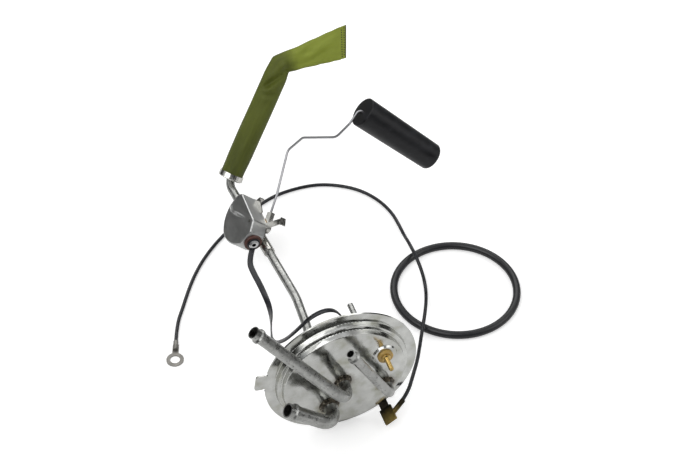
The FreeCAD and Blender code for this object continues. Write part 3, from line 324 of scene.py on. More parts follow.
class Finish(Nodes):
    """A material in the making: one shader, and the patterns that feed it. FINISHES keeps it by name."""

    def __init__(self, name, colour, roughness, metallic=0.0):
        FINISHES[name] = bpy.data.materials.new(name)
        FINISHES[name].use_nodes = True
        super().__init__(FINISHES[name].node_tree)
        self.shader = self.tree.nodes["Principled BSDF"]
        self.set("Base Color", (*colour, 1.0))
        self.set("Roughness", roughness)
        self.set("Metallic", metallic)

    def set(self, socket, value):
        self.feed(self.shader.inputs[socket], value)

    def colour(self, pattern):
        self.set("Base Color", pattern)

    def patchy(self, pattern, low, high, end=0.7):
        """Roughness from LOW to HIGH by PATTERN."""
        self.set("Roughness", self.span(pattern, low, high, 0.3, end))

    def bump(self, height, depth):
        made = self.node("ShaderNodeBump", Height=height, Strength=1.0, Distance=depth)
        self.set("Normal", made.outputs["Normal"])

    def coordinates(self, source="Object"):
        return self.node("ShaderNodeTexCoord").outputs[source]

    def place(self, stretch=(1, 1, 1), source="Object", shift=(0, 0, 0)):
        return self.node("ShaderNodeMapping", Vector=self.coordinates(source), Scale=stretch,
                         Location=shift).outputs["Vector"]

    def mottle(self, size, stretch=(1, 1, 1), detail=3.0, rough=0.55, source="Object"):
        """Noise whose blotches are about SIZE metres across."""
        return self.node("ShaderNodeTexNoise", Vector=self.place(stretch, source), Scale=1 / size,
                         Detail=detail, Roughness=rough).outputs["Fac"]

    def stripes(self, size, axis):
        """Waves of SIZE metres along one way of the piece's own map."""
        made = self.node("ShaderNodeTexWave", Vector=self.place(source="UV"), Scale=0.31 / size)
        made.bands_direction = axis
        return made.outputs["Fac"]

    def pits(self, size):
        """Distance to scattered points about SIZE metres apart."""
        return self.node("ShaderNodeTexVoronoi", Vector=self.place(), Scale=1 / size).outputs["Distance"]

    def ball(self, place):
        """One at the origin of PLACE, falling to nothing at a distance of one."""
        made = self.node("ShaderNodeTexGradient", Vector=place)
        made.gradient_type = "SPHERICAL"
        return made.outputs["Fac"]

    def near(self, centre, reach, squash=(1, 1, 1)):
        """One at CENTRE, falling to nothing REACH metres away."""
        scale = tuple(s / reach for s in squash)
        return self.ball(self.place(scale, shift=tuple(-c * s for c, s in zip(centre, scale))))

    def streak(self, start, end, flat, width):
        """One along the line from START to END, falling to nothing WIDTH metres to its sides."""
        along = end - start
        turned = Matrix((along.normalized(), flat.cross(along).normalized(), flat)).transposed()
        made = self.node("ShaderNodeMapping", Vector=self.coordinates(), Location=(start + end) / 2,
                         Rotation=turned.to_euler(), Scale=(along.length / 2 + width, width, width))
        made.vector_type = "TEXTURE"
        return self.ball(made.outputs["Vector"])

    def rise(self, start, end):
        """Nought before START metres along the piece's own map and one past END, softly."""
        along = self.node("ShaderNodeSeparateXYZ", Vector=self.coordinates("UV")).outputs["Y"]
        made = self.node("ShaderNodeMapRange", Value=along, From_Min=start, From_Max=end)
        made.interpolation_type = "SMOOTHSTEP"
        return made.outputs["Result"]

    def shades(self, pattern, colour, dark, light):
        """COLOUR from DARK to LIGHT times itself by PATTERN."""
        return self.ramp(pattern, [(0.3, tinted(colour, dark)), (0.7, tinted(colour, light))])

    def blend(self, value, under, over):
        """Two colours or colour sockets, mixed by VALUE."""
        made = self.node("ShaderNodeMix", Factor=value)
        made.data_type = "RGBA"
        sockets = [socket for socket in made.inputs if socket.type == "RGBA"]
        for socket, colour in zip(sockets, (under, over)):
            self.feed(socket, (*colour, 1.0) if isinstance(colour, tuple) else colour)
        return [socket for socket in made.outputs if socket.type == "RGBA"][0]

    def sum(self, first, second, weight=1.0):
        """FIRST and WEIGHT times SECOND."""
        return self.calculate("MULTIPLY_ADD", second, weight, first)


def tinted(colour, share):
    return tuple(min(1.0, c * share) for c in colour)


def zinc_sheet():
    """Plated sheet with a faint olive tone, cloudy patches, and dark brown patches round the tubes, partly
    heat and flux stain and partly painted shade and reflection of the tubes.
    """
    zinc = tuple(bpy.context.scene.unit_metal.zinc_colour)
    finish = Finish("zinc_sheet", zinc, 0.2, 1.0)
    clouds = finish.mottle(13 * MM, detail=5)
    base = finish.ramp(clouds, [(0.3, (0.36, 0.36, 0.30)), (0.5, tinted(zinc, 0.92)),
                                (0.78, tinted(zinc, 1.22))])
    # Dark brown round each tube's root: partly heat and flux stain, partly painted shade and reflection of
    # the tube on the face
    for x, z, outside in TUBE_ROOTS.values():
        near_root = finish.near((x * MM, FACE_Y * MM, z * MM), (outside / 2 + 8) * MM)
        ragged = finish.sum(near_root, finish.mottle(4 * MM, detail=4), 0.5)
        stain_and_shade = finish.span(ragged, 0.0, 0.85, 0.45, 0.9)
        base = finish.blend(stain_and_shade, base, (0.12, 0.10, 0.065))
    finish.colour(base)
    finish.patchy(finish.mottle(5 * MM, detail=5), 0.09, 0.22)
    finish.bump(finish.mottle(16 * MM, detail=1), 0.9 * MM)


def zinc_tube():
    """Drawn, plated tube: small dark nicks, dull patches and slight dents."""
    zinc = tuple(bpy.context.scene.unit_metal.zinc_colour)
    finish = Finish("zinc_tube", zinc, 0.32, 1.0)
    nicks = finish.span(finish.mottle(1.5 * MM, detail=6, rough=0.7), 1.0, 0.0, 0.32, 0.42)
    base = finish.shades(finish.mottle(9 * MM, detail=4), zinc, 0.5, 0.8)
    finish.colour(finish.blend(nicks, base, (0.03, 0.03, 0.028)))
    finish.patchy(finish.mottle(3.5 * MM, detail=5), 0.2, 0.42)
    finish.bump(finish.mottle(2.2 * MM, detail=4), 0.2 * MM)


def plain_metal(name, colour, low, high, dark=0.7, mark=2.5 * MM, depth=0.05 * MM):
    """Metal with patches of shine and tone, and slight dents."""
    finish = Finish(name, colour, (low + high) / 2, 1.0)
    finish.colour(finish.shades(finish.mottle(mark * 2, detail=4), colour, dark, 1.08))
    finish.patchy(finish.mottle(mark, detail=4), low, high)
    finish.bump(finish.mottle(mark, detail=3), depth)


def brazed():
    """Dark, oxidised braze with brighter peaks."""
    finish = Finish("brazed", (0.16, 0.13, 0.10), 0.45, 0.85)
    lumps = finish.mottle(1.6 * MM, detail=5)
    finish.colour(finish.ramp(lumps, [(0.38, (0.014, 0.012, 0.010)), (0.58, (0.10, 0.085, 0.06)),
                                      (0.75, (0.50, 0.47, 0.40))]))
    finish.patchy(lumps, 0.2, 0.5)
    finish.bump(lumps, 0.6 * MM)


def flag_brass():
    """Brass, bright at its folded end and darkened by painted shade near the cover."""
    finish = Finish("flag_brass", (0.28, 0.19, 0.07), 0.4, 0.9)
    low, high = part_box("ground_terminal")
    # Painted light and shade: bright brass towards the folded end, near black painted shade towards the cover
    lit_end = finish.near(((low.x + high.x) / 2, low.y, low.z), 13 * MM)
    lit_end = finish.sum(lit_end, finish.mottle(2.4 * MM, detail=5), 0.35)
    finish.colour(finish.ramp(lit_end, [(0.2, (0.030, 0.025, 0.015)), (0.55, (0.17, 0.125, 0.040)),
                                      (0.95, (0.44, 0.33, 0.10))]))
    finish.patchy(finish.mottle(1.5 * MM), 0.3, 0.55)
    finish.bump(finish.mottle(1.2 * MM, detail=4), 0.08 * MM)


def moulded(name, colour, roughness, spread=0.25, depth=0.03 * MM):
    """Moulded plastic, fibre or rubber with a fine grain."""
    speck = 0.8 * MM
    finish = Finish(name, colour, roughness)
    finish.colour(finish.shades(finish.mottle(speck * 6, detail=4), colour, 1 - spread, 1 + spread))
    grain = finish.mottle(speck, detail=3)
    finish.patchy(grain, roughness - 0.08, roughness + 0.08)
    finish.bump(grain, depth)


def float_rubber():
    """Closed-cell nitrile: near black, with fine pores and faint scuffs."""
    finish = Finish("float_rubber", (0.010, 0.010, 0.012), 0.45)
    scuffs = finish.mottle(9 * MM, stretch=(1, 1, 2.2), detail=5, rough=0.65)
    finish.colour(finish.ramp(scuffs, [(0.35, (0.0045, 0.0045, 0.0055)), (0.62, (0.010, 0.0105, 0.0125)),
                                       (0.8, (0.026, 0.028, 0.034))]))
    finish.patchy(scuffs, 0.32, 0.5)
    finish.set("Specular IOR Level", 0.35)
    finish.bump(finish.span(finish.pits(0.8 * MM), 0.0, 1.0, 0.05, 0.4), 0.03 * MM)


def housing_steel():
    """Dull grey plated steel with the two marks pressed in the housing's face."""
    grey = (0.47, 0.475, 0.47)
    finish = Finish("housing_steel", grey, 0.36, 1.0)
    tone = finish.mottle(7 * MM, stretch=(1, 0.3, 1), detail=4)
    finish.colour(finish.shades(tone, grey, 0.82, 1.12))
    finish.patchy(finish.mottle(2 * MM, detail=4), 0.28, 0.42)
    height = finish.span(finish.mottle(5 * MM, detail=2), 0.0, 0.05)
    for start, end in PRESSED_MARKS:
        start, end = (PIVOT + AXIS_S * s + AXIS_T * t + AXIS_M * FACE_M for s, t in (start, end))
        mark = finish.span(finish.streak(start * MM, end * MM, AXIS_M, 1.5 * MM), 0.0, 1.0, 0.0, 0.8)
        height = finish.sum(height, mark)
    finish.bump(height, -0.55 * MM)


def dished_rivet():
    """Bright rivet with painted shade in the hollow in the middle of its head."""
    finish = Finish("dished_rivet", (0.62, 0.62, 0.62), 0.25, 1.0)
    x, y, z = EYELET_FOOT
    # Painted shade: near black round the middle of the head, where the bore lies in shade
    middle = finish.near((x * MM, (y - 2.0) * MM, z * MM), 2.6 * MM, squash=(1, 0.2, 1))
    bore_shade = finish.span(middle, 0.0, 1.0, 0.34, 0.46)
    tone = finish.shades(finish.mottle(2 * MM), (1, 1, 1), 0.5, 0.68)
    finish.colour(finish.blend(bore_shade, tone, (0.006, 0.006, 0.006)))
    finish.set("Roughness", finish.span(bore_shade, 0.24, 0.6))
    finish.bump(finish.mottle(1.5 * MM), 0.03 * MM)


def resistor_wire():
    """Fine alloy wire with a brown cast."""
    finish = Finish("resistor_wire", (0.42, 0.33, 0.22), 0.35, 1.0)
    finish.bump(finish.mottle(0.4 * MM), 0.02 * MM)
    finish.colour(finish.ramp(finish.mottle(4 * MM), [(0.3, (0.30, 0.22, 0.14)), (0.7, (0.50, 0.40, 0.28))]))


def lead_sheath():
    """Smooth black lead covering with a blue-grey shine and a few scuffs."""
    sheath = tuple(bpy.context.scene.unit_leads.sheath_colour)
    finish = Finish("lead_sheath", sheath, 0.3)
    scuffs = finish.mottle(6 * MM, detail=5, rough=0.7)
    finish.colour(finish.ramp(scuffs, [(0.4, sheath), (0.75, tinted(sheath, 3.2))]))
    finish.patchy(scuffs, 0.22, 0.42, end=0.75)
    finish.set("Specular IOR Level", 0.38)
    finish.bump(finish.mottle(1.2 * MM), 0.03 * MM)


def woven_mesh():
    """Olive woven plastic mesh. Its weave follows the sock's own lengthways map. Its round leg is painted
    dark as shade, darkest at its foot, and its flattened arm lighter as light through the thin cloth.
    """
    base = tuple(bpy.context.scene.unit_sock.mesh_colour)
    finish = Finish("woven_mesh", base, 0.5)
    # Painted light and shade: the leg is painted dark, darkest at its foot, and the flattened arm past the
    # fold keeps the full, lighter colour
    lit_flat_arm = finish.rise((FOLD_AT + 3) * MM, (FOLD_AT + 15) * MM)
    leg_shade = finish.rise(0.0, 70 * MM)
    tone = finish.blend(lit_flat_arm, finish.blend(leg_shade, tinted(base, 0.24), tinted(base, 0.35)), base)
    streaks = finish.mottle(4 * MM, stretch=(1.0, 0.14, 1.0), detail=4, source="UV")
    tone = finish.blend(finish.span(streaks, 0.0, 0.35, 0.35, 0.75), tone, tinted(base, 0.62))
    weave = finish.sum(finish.stripes(WEAVE * MM, "X"), finish.stripes(WEAVE * MM, "Y"))
    tone = finish.blend(finish.span(weave, 0.2, 0.0, 0.4, 1.6), tone, tinted(base, 0.15))
    welded = finish.rise((SOCK_LENGTH - 0.9) * MM, (SOCK_LENGTH - 0.5) * MM)
    finish.colour(finish.blend(welded, tone, tinted(base, 0.12)))
    finish.patchy(streaks, 0.4, 0.58)
    finish.set("Specular IOR Level", 0.25)
    finish.bump(finish.sum(weave, finish.mottle(5 * MM, detail=3), 2.5), 0.05 * MM)


def weld_edge():
    """The sock's welded edge, pressed flat and darker."""
    base = tinted(tuple(bpy.context.scene.unit_sock.mesh_colour), 0.07)
    finish = Finish("weld_edge", base, 0.4)
    finish.colour(finish.shades(finish.mottle(1.2 * MM), base, 0.7, 1.3))
    finish.bump(finish.mottle(0.8 * MM), 0.05 * MM)


# Plain metals: colour, least and greatest roughness, darkest tone, size and depth of its marks
PLAIN_METALS = {
    "bright_steel": ((0.62, 0.61, 0.58), 0.14, 0.3),
    "collar_steel": ((0.74, 0.73, 0.69), 0.1, 0.24),
    "arm_wire": ((0.44, 0.44, 0.46), 0.34, 0.42, 0.85, 8 * MM, 0.01 * MM),
    "tinned": ((0.58, 0.58, 0.59), 0.2, 0.38),
    "dull_tin": ((0.30, 0.29, 0.27), 0.35, 0.6, 0.55),
    # The ground blade's steel is painted near black as the shade that falls on it
    "dark_steel": ((0.10, 0.085, 0.065), 0.3, 0.5, 0.4),
    "bronze": ((0.55, 0.36, 0.18), 0.25, 0.42),
}

# Moulded stuffs: colour, roughness, how far its tones spread, depth of its grain
MOULDED_STUFFS = {
    "amber_plastic": ((0.42, 0.27, 0.07), 0.35),
    "fibre": ((0.070, 0.027, 0.020), 0.5, 0.35),
    "card": ((0.09, 0.035, 0.02), 0.6),
    "seal_rubber": ((0.006, 0.0065, 0.0085), 0.34, 0.25, 0.02 * MM),
}

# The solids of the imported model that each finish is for
CAD_FINISHES = {
    "zinc_sheet": ["cover_plate"],
    "zinc_tube": ["feed_tube", "return_tube", "vent_tube"],
    # The ground blade gets near black steel as painted shade
    "dark_steel": ["ground_blade"],
    "housing_steel": ["sender_housing"],
    "bright_steel": ["housing_back_plate", "tube_bracket", "spring_rivet", "pivot_shaft", "arm_hub",
                     "float_retainer"],
    "collar_steel": ["sock_collar"],
    "arm_wire": ["float_arm"],
    "tinned": ["lead_ring", "stud_nut", "terminal_eyelet"],
    "dull_tin": ["ring_terminal"],
    "dished_rivet": ["terminal_rivet"],
    "bronze": ["winding_tail", "wiper_arm", "wiper_contact", "ground_spring"],
    "flag_brass": ["ground_terminal"],
    "amber_plastic": ["outer_insulator"],
    "fibre": ["inner_insulator", "insulator_washer"],
    "card": ["resistor_card"],
    "float_rubber": ["float"],
    "seal_rubber": ["seal_ring"],
}


def make_finishes():
    """Makes every finish, each under its own name."""
    for make in (zinc_sheet, zinc_tube, housing_steel, brazed, dished_rivet, flag_brass, float_rubber,
                 resistor_wire, lead_sheath, woven_mesh, weld_edge):
        make()
    for name, values in PLAIN_METALS.items():
        plain_metal(name, *values)
    plain_metal("stud_brass", tuple(bpy.context.scene.unit_metal.brass_colour), 0.18, 0.35)
    for name, values in MOULDED_STUFFS.items():
        moulded(name, *values)


# Building helpers

def in_metres(points):
    return [Vector(point) * MM for point in points]


def length_of(points):
    return sum((b - a).length for a, b in zip(points, points[1:]))


def round_angles(count):
    return [2 * math.pi * step / count for step in range(count)]


def between(table, at, eased=False):
    """The value at AT in a table of (place, value) rows, softly from row to row where EASED."""
    for (low, first), (high, second) in zip(table, table[1:]):
        if at <= high:
            part = (at - low) / (high - low)
            if eased:
                part = part * part * (3 - 2 * part)
            return Vector(first).lerp(Vector(second), part)
    return Vector(table[-1][1])


def ahead_at(points, index):
    """The way that a line of points goes at one of them."""
    return (points[min(index + 1, len(points) - 1)] - points[max(index - 1, 0)]).normalized()


def placed(name, data):
    """A new object in the scene that shows DATA."""
    thing = bpy.data.objects.new(name, data)
    bpy.context.scene.collection.objects.link(thing)
    return thing


def add_piece(name, rows, finish, body="unit", ends=(True, True), uvs=None):
    """A smooth piece through ROWS that rides on BODY, with a map if UVS has a place for each point."""
    points, faces = skin(rows, ends)
    mesh = bpy.data.meshes.new(name)
    mesh.from_pydata([tuple(point) for point in points], [], faces)
    if uvs:
        layer = mesh.uv_layers.new(name="lay")
        for loop in mesh.loops:
            layer.data[loop.index].uv = uvs[loop.vertex_index]
    mesh.shade_smooth()
    mesh.materials.append(FINISHES[finish])
    piece = placed(name, mesh)
    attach(piece, body)
    return piece


def skin(rows, ends=(True, True)):
    """Points and faces of a tube through ROWS of points, with its first and last end closed or not."""
    count = len(rows[0])
    sides = [(step, (step + 1) % count) for step in range(count)]
    points = [point for row in rows for point in row]
    faces = []
    for base in range(0, count * (len(rows) - 1), count):
        faces += [(base + a, base + b, base + b + count, base + a + count) for a, b in sides]
    for row, order, closed in ((0, -1, ends[0]), (len(rows) - 1, 1, ends[1])):
        if closed:
            faces += [(row * count + a, row * count + b, len(points))[::order] for a, b in sides]
            points.append(sum(rows[row], Vector()) / count)
    return points, faces


def turned_rows(x, z, profile, count, reach=None):
    """Rings round an axis along Y. PROFILE is (y, radius) pairs, or REACH turns its marks into radii."""
    rows = []
    for y, mark in profile:
        row = []
        for angle in round_angles(count):
            radius = reach(angle, y, mark) if reach else mark
            row.append(Vector((x + radius * math.cos(angle), y, z + radius * math.sin(angle))) * MM)
        rows.append(row)
    return rows


def nurbs_line(name, route):
    """A smooth open line with ROUTE as its control points."""
    curve = bpy.data.curves.new(name, "CURVE")
    curve.dimensions = "3D"
    spline = curve.splines.new("NURBS")
    spline.points.add(len(route) - 1)
    for point, place in zip(spline.points, route):
        point.co = (*place, 1.0)
    spline.order_u = 3
    spline.use_endpoint_u = True
    curve.resolution_u = 10
    return placed(name, curve)


def line_points(route):
    """Points along the smooth line that ROUTE controls."""
    guide = nurbs_line("guide", route)
    mesh = bpy.data.meshes.new_from_object(guide)
    points = [vertex.co.copy() for vertex in mesh.vertices]
    bpy.data.objects.remove(guide)
    bpy.data.meshes.remove(mesh)
    return points


def rounded_route(points, radii, steps=8):
    """Points along straight runs with an arc of its own radius at each corner."""
    route = [points[0]]
    for before, corner, after, radius in zip(points, points[1:], points[2:], radii):
        back = (before - corner).normalized()
        ahead = (after - corner).normalized()
        half = back.angle(ahead) / 2
        middle = corner + (back + ahead).normalized() * radius / math.sin(half)
        start = (corner + back * radius / math.tan(half) - middle).normalized()
        end = (corner + ahead * radius / math.tan(half) - middle).normalized()
        route += [middle + start.slerp(end, step / steps) * radius for step in range(steps + 1)]
    return route + [points[-1]]


def swept_rows(route, radius, around=24):
    """Rings of a round wire along ROUTE, each turned as little as can be from the one before."""
    rows = []
    side = (route[1] - route[0]).orthogonal().normalized()
    for index, point in enumerate(route):
        ahead = ahead_at(route, index)
        side = (side - ahead * side.dot(ahead)).normalized()
        other = ahead.cross(side)
        rows.append([point + (side * math.cos(angle) + other * math.sin(angle)) * radius
                     for angle in round_angles(around)])
    return rows


def new_tree(name, inputs):
    """A geometry tree with its named inputs, and the sockets that they come in by."""
    tree = bpy.data.node_groups.new(name, "GeometryNodeTree")
    tree.interface.new_socket("Geometry", in_out="INPUT", socket_type="NodeSocketGeometry")
    for label, kind in inputs.items():
        tree.interface.new_socket(label, in_out="INPUT", socket_type=kind)
    tree.interface.new_socket("Geometry", in_out="OUTPUT", socket_type="NodeSocketGeometry")
    nodes = Nodes(tree)
    return nodes, nodes.node("NodeGroupInput").outputs


def scatter_tree(name, shape, counts, sizes, turn):
    """Puts one mesh shape of the given COUNTS on each point. Its inputs are the shape's sizes."""
    nodes, entry = new_tree(name, {**dict.fromkeys(sizes, "NodeSocketFloat"), "Finish": "NodeSocketMaterial"})
    made = nodes.node(shape, **counts, **{size: entry[size] for size in sizes})
    spread = nodes.node("GeometryNodeInstanceOnPoints", Points=entry["Geometry"],
                        Instance=made.outputs["Mesh"], Rotation=turn)
    real = nodes.node("GeometryNodeRealizeInstances", Geometry=spread.outputs["Instances"])
    painted = nodes.node("GeometryNodeSetMaterial", Geometry=real.outputs["Geometry"],
                         Material=entry["Finish"])
    nodes.node("NodeGroupOutput", Geometry=painted.outputs["Geometry"])
    return nodes.tree


def scattered(name, shape, counts, sizes, places, finish, turn=(0, 0, 0)):
    """One mesh shape on each of PLACES, kept as a plain mesh piece of the unit."""
    points = bpy.data.meshes.new(name + "_places")
    points.from_pydata([tuple(place) for place in places], [], [])
    piece = placed(name, points)
    modifier = piece.modifiers.new("make", "NODES")
    modifier.node_group = scatter_tree(name, shape, counts, sizes, turn)
    values = {**sizes, "Finish": FINISHES[finish]}
    for socket in modifier.node_group.interface.items_tree:
        if socket.name in values:
            modifier[socket.identifier] = values[socket.name]
    evaluated = piece.evaluated_get(bpy.context.evaluated_depsgraph_get())
    mesh = bpy.data.meshes.new_from_object(evaluated)
    mesh.name = name
    piece.modifiers.remove(modifier)
    piece.data = mesh
    bpy.data.meshes.remove(points)
    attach(piece, "unit")
    return piece


def smoothing_tree():
    """Joins a solid's facets and smooths them, save where they meet at a sharp angle."""
    nodes, entry = new_tree("smooth_facets", {"Sharp angle": "NodeSocketFloat"})
    nodes.tree.interface.items_tree["Sharp angle"].default_value = math.radians(40)
    joined = nodes.node("GeometryNodeMergeByDistance", Geometry=entry["Geometry"], Distance=0.001 * MM)
    faces = nodes.node("GeometryNodeSetShadeSmooth", Geometry=joined.outputs["Geometry"])
    angle = nodes.node("GeometryNodeInputMeshEdgeAngle").outputs["Unsigned Angle"]
    sharp = nodes.node("FunctionNodeCompare", A=angle, B=entry["Sharp angle"])
    edges = nodes.node("GeometryNodeSetShadeSmooth", Geometry=faces.outputs["Geometry"],
                       Selection=sharp.outputs["Result"], Shade_Smooth=False)
    edges.domain = "EDGE"
    nodes.node("NodeGroupOutput", Geometry=edges.outputs["Geometry"])
    return nodes.tree


def even_normals(piece):
    """Lets flat faces keep flat where they meet curves at a soft angle."""
    piece.modifiers.new("weighted", "WEIGHTED_NORMAL").keep_sharp = True


def finish_solids():
    """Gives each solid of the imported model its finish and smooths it."""
    smoothing = smoothing_tree()
    for finish, names in CAD_FINISHES.items():
        for name in names:
            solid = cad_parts[name]
            solid.data.materials.clear()
            solid.data.materials.append(FINISHES[finish])
            solid.modifiers.new("smooth", "NODES").node_group = smoothing
    even_normals(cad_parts["cover_plate"])


# The sock

def sock_point(distance):
    """The centre line at DISTANCE millimetres, rounded a little at the fold."""
    if abs(distance - FOLD_AT) >= TURN_LENGTH:
        return between(SOCK_LINE, distance)
    part = (distance - FOLD_AT + TURN_LENGTH) / (2 * TURN_LENGTH)
    low, high = (between(SOCK_LINE, FOLD_AT + turn) for turn in (-TURN_LENGTH, TURN_LENGTH))
    return low.lerp(SOCK_FOLD, part).lerp(SOCK_FOLD.lerp(high, part), part)


def crease_at(share, distance, width):
    """How far the surface is pressed in there, in crease depths."""
    total = 0.0
    for (a0, d0), (a1, d1), depth, reach in CREASES:
        here = Vector((share * width / 2, distance))
        start = Vector((a0 * width / 2, d0))
        line = Vector((a1 * width / 2, d1)) - start
        along = max(0.0, min(1.0, (here - start).dot(line) / line.length_squared))
        off = (here - start - line * along).length
        fade = min(1.0, 4 * (1 - along) + 0.15)
        groove = math.exp(-(off / reach) ** 2) - 0.45 * math.exp(-((off - 2.1 * reach) / reach) ** 2)
        total += depth * fade * groove
    return total


def sock_frame(distance):
    """Centre, across and through directions of the sock's section, mitred at the fold and its end."""
    step = 0.8
    centre = sock_point(distance)
    ahead = sock_point(min(distance + step, SOCK_LENGTH))
    along = (ahead - sock_point(max(distance - step, 0.0))).normalized()
    across = between(SOCK_WIDTH_WAYS, distance).normalized()
    return centre, across, along.cross(across).normalized()


def make_sock():
    """The sock: a creased tube that flattens past its fold."""
    settings = bpy.context.scene.unit_sock
    count = int(SOCK_LENGTH / SOCK_SPACING)
    growth = settings.diameter / (DRAWN_DIAMETER * MM)
    flare = settings.end_width / (DRAWN_END_WIDTH * MM)
    depth = settings.crease_depth / MM
    rows, uvs = [], []
    for index in range(count + 1):
        distance = SOCK_LENGTH * index / count
        centre, across, through = sock_frame(distance)
        width, thick = between(SOCK_SIZES, distance, eased=True)
        width *= growth + (flare - growth) * distance / SOCK_LENGTH
        flat = max(0.0, min(1.0, (distance - FOLD_AT - 8) / 30))
        row = []
        for step, angle in enumerate(round_angles(SOCK_SIDES)):
            share, rise = math.cos(angle), math.sin(angle)
            lens = math.copysign(abs(rise) ** (1 + 0.5 * flat), rise)
            wobble = noise.noise(Vector((share * 2, rise * 2, distance / 16))) * 0.5
            wobble += noise.noise(Vector((share * 5, rise * 5 + 9, distance / 6))) * 0.16
            press = crease_at(share, distance, width) * depth * min(1.0, thick / 6)
            high = max(thick / 2 + wobble * min(1.0, thick / 8) - press * abs(rise), 0.5) * lens
            side = width / 2 + 0.2 * noise.noise(Vector((math.copysign(3, share), 4, distance / 24)))
            row.append((centre + across * share * side + through * high) * MM)
            uvs.append((step / SOCK_SIDES * CLOTH_ROUND * MM, distance * MM))
        rows.append(row)
    uvs.append((CLOTH_ROUND / 2 * MM, SOCK_LENGTH * MM))
    sock = add_piece("woven_sock", rows, "woven_mesh", ends=(False, True), uvs=uvs)
    wall = sock.modifiers.new("wall", "SOLIDIFY")
    wall.thickness = CLOTH_THICK * MM
    wall.offset = -1.0
    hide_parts("filter_sock")


def make_weld_edge():
    """Lines of small dimples along the welded end, on both faces."""
    radius = bpy.context.scene.unit_sock.dimple_size / 2
    places = []
    for line in range(WELD_LINES):
        distance = SOCK_LENGTH - WELD_SETBACK - WELD_STEP * line
        centre, across, through = sock_frame(distance)
        width, thick = between(SOCK_SIZES, distance, eased=True)
        for column in range(WELD_COLUMNS):
            share = (column + 0.5 * (line % 2) - (WELD_COLUMNS - 1) / 2 - 0.25) / (WELD_COLUMNS / 2 + 0.8)
            for side in (-1, 1):
                high = thick / 2 * math.sqrt(max(0.0, 1 - share * share)) ** 1.5
                lift = high * side * MM - side * radius * 0.45
                places.append((centre + across * share * width / 2) * MM + through * lift)
    piece = scattered("weld_dimples", "GeometryNodeMeshIcoSphere", {"Subdivisions": 2},
                      {"Radius": radius}, places, "weld_edge")


# The leads

def make_ground_lead():
    settings = bpy.context.scene.unit_leads
    route = in_metres(GROUND_LEAD_ROUTE)
    lead = nurbs_line("round_ground_lead", route)
    lead.data.bevel_depth = settings.ground_diameter / 2
    lead.data.bevel_resolution = 5
    lead.data.use_fill_caps = True
    lead.data.materials.append(FINISHES["lead_sheath"])
    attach(lead, "unit")
    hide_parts("ground_lead")
    length_of(line_points(route))


def make_sender_lead():
    settings = bpy.context.scene.unit_leads
    route = in_metres(SENDER_LEAD_ROUTE)
    line = line_points(route)
    total = length_of(line)
    half_width, half_thick = settings.strip_width / 2, settings.strip_thickness / 2
    corners, squareness = 16, 0.6
    section = [[math.copysign(abs(way) ** squareness, way) for way in (math.cos(angle), math.sin(angle))]
               for angle in round_angles(corners)]
    rows, travelled = [], 0.0
    for index, point in enumerate(line):
        if index:
            travelled += (point - line[index - 1]).length
        ahead = ahead_at(line, index)
        wide = between(SENDER_LEAD_WIDTH_WAYS, travelled / total)
        wide = (wide - ahead * wide.dot(ahead)).normalized()
        thin = ahead.cross(wide)
        rows.append([point + wide * side * half_width + thin * high * half_thick
                     for side, high in section])
    lead = add_piece("flat_sender_lead", rows, "lead_sheath")
    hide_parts("sender_lead")


def make_lead_end():
    """The sheath's moulded ring round the sender's eyelet."""
    x, y, z = EYELET_FOOT
    inner, outer = SHEATH_INNER_R, SHEATH_OUTER_R
    profile = [(y, inner), (y, outer), (y - 0.65, outer - 0.04), (y - 0.92, outer - 0.25),
               (y - 1.0, 4.15), (y - 0.95, inner + 0.19), (y - 0.75, inner), (y, inner)]
    ring = add_piece("sheath_ring", turned_rows(x, z, profile, 48), "lead_sheath", ends=(False, False))


# Brazed joints, stud, winding and arm

def make_braze(name, x, z, outside):
    """A lumpy fillet between a tube and the cover."""
    spread = bpy.context.scene.unit_metal.braze_width / MM
    base = outside / 2

    def lumpy(angle, y, radius):
        here = Vector((math.cos(angle) * 1.6 + x, math.sin(angle) * 1.6 + z, y * 0.5))
        lumps = 0.75 * noise.noise(here) + 0.3 * noise.noise(here * 2.7)
        return radius + lumps * max(0.0, min(1.0, (y - FACE_Y + FILLET_HEIGHT) / FILLET_HEIGHT))

    profile = [(FACE_Y - 2.3, base + 0.06), (FACE_Y - 1.9, base + 0.22), (FACE_Y - 1.3, base + 0.5),
               (FACE_Y - 0.8, base + 0.62 * spread), (FACE_Y - 0.35, base + spread),
               (FACE_Y - 0.06, base + 1.3 * spread), (FACE_Y + 0.1, base + 1.4 * spread)]
    fillet = add_piece(name + "_braze", turned_rows(x, z, profile, 72, lumpy), "brazed")
    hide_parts(name + "_braze_ring")


def make_brazes():
    for name, (x, z, outside) in TUBE_ROOTS.items():
        make_braze(name, x, z, outside)


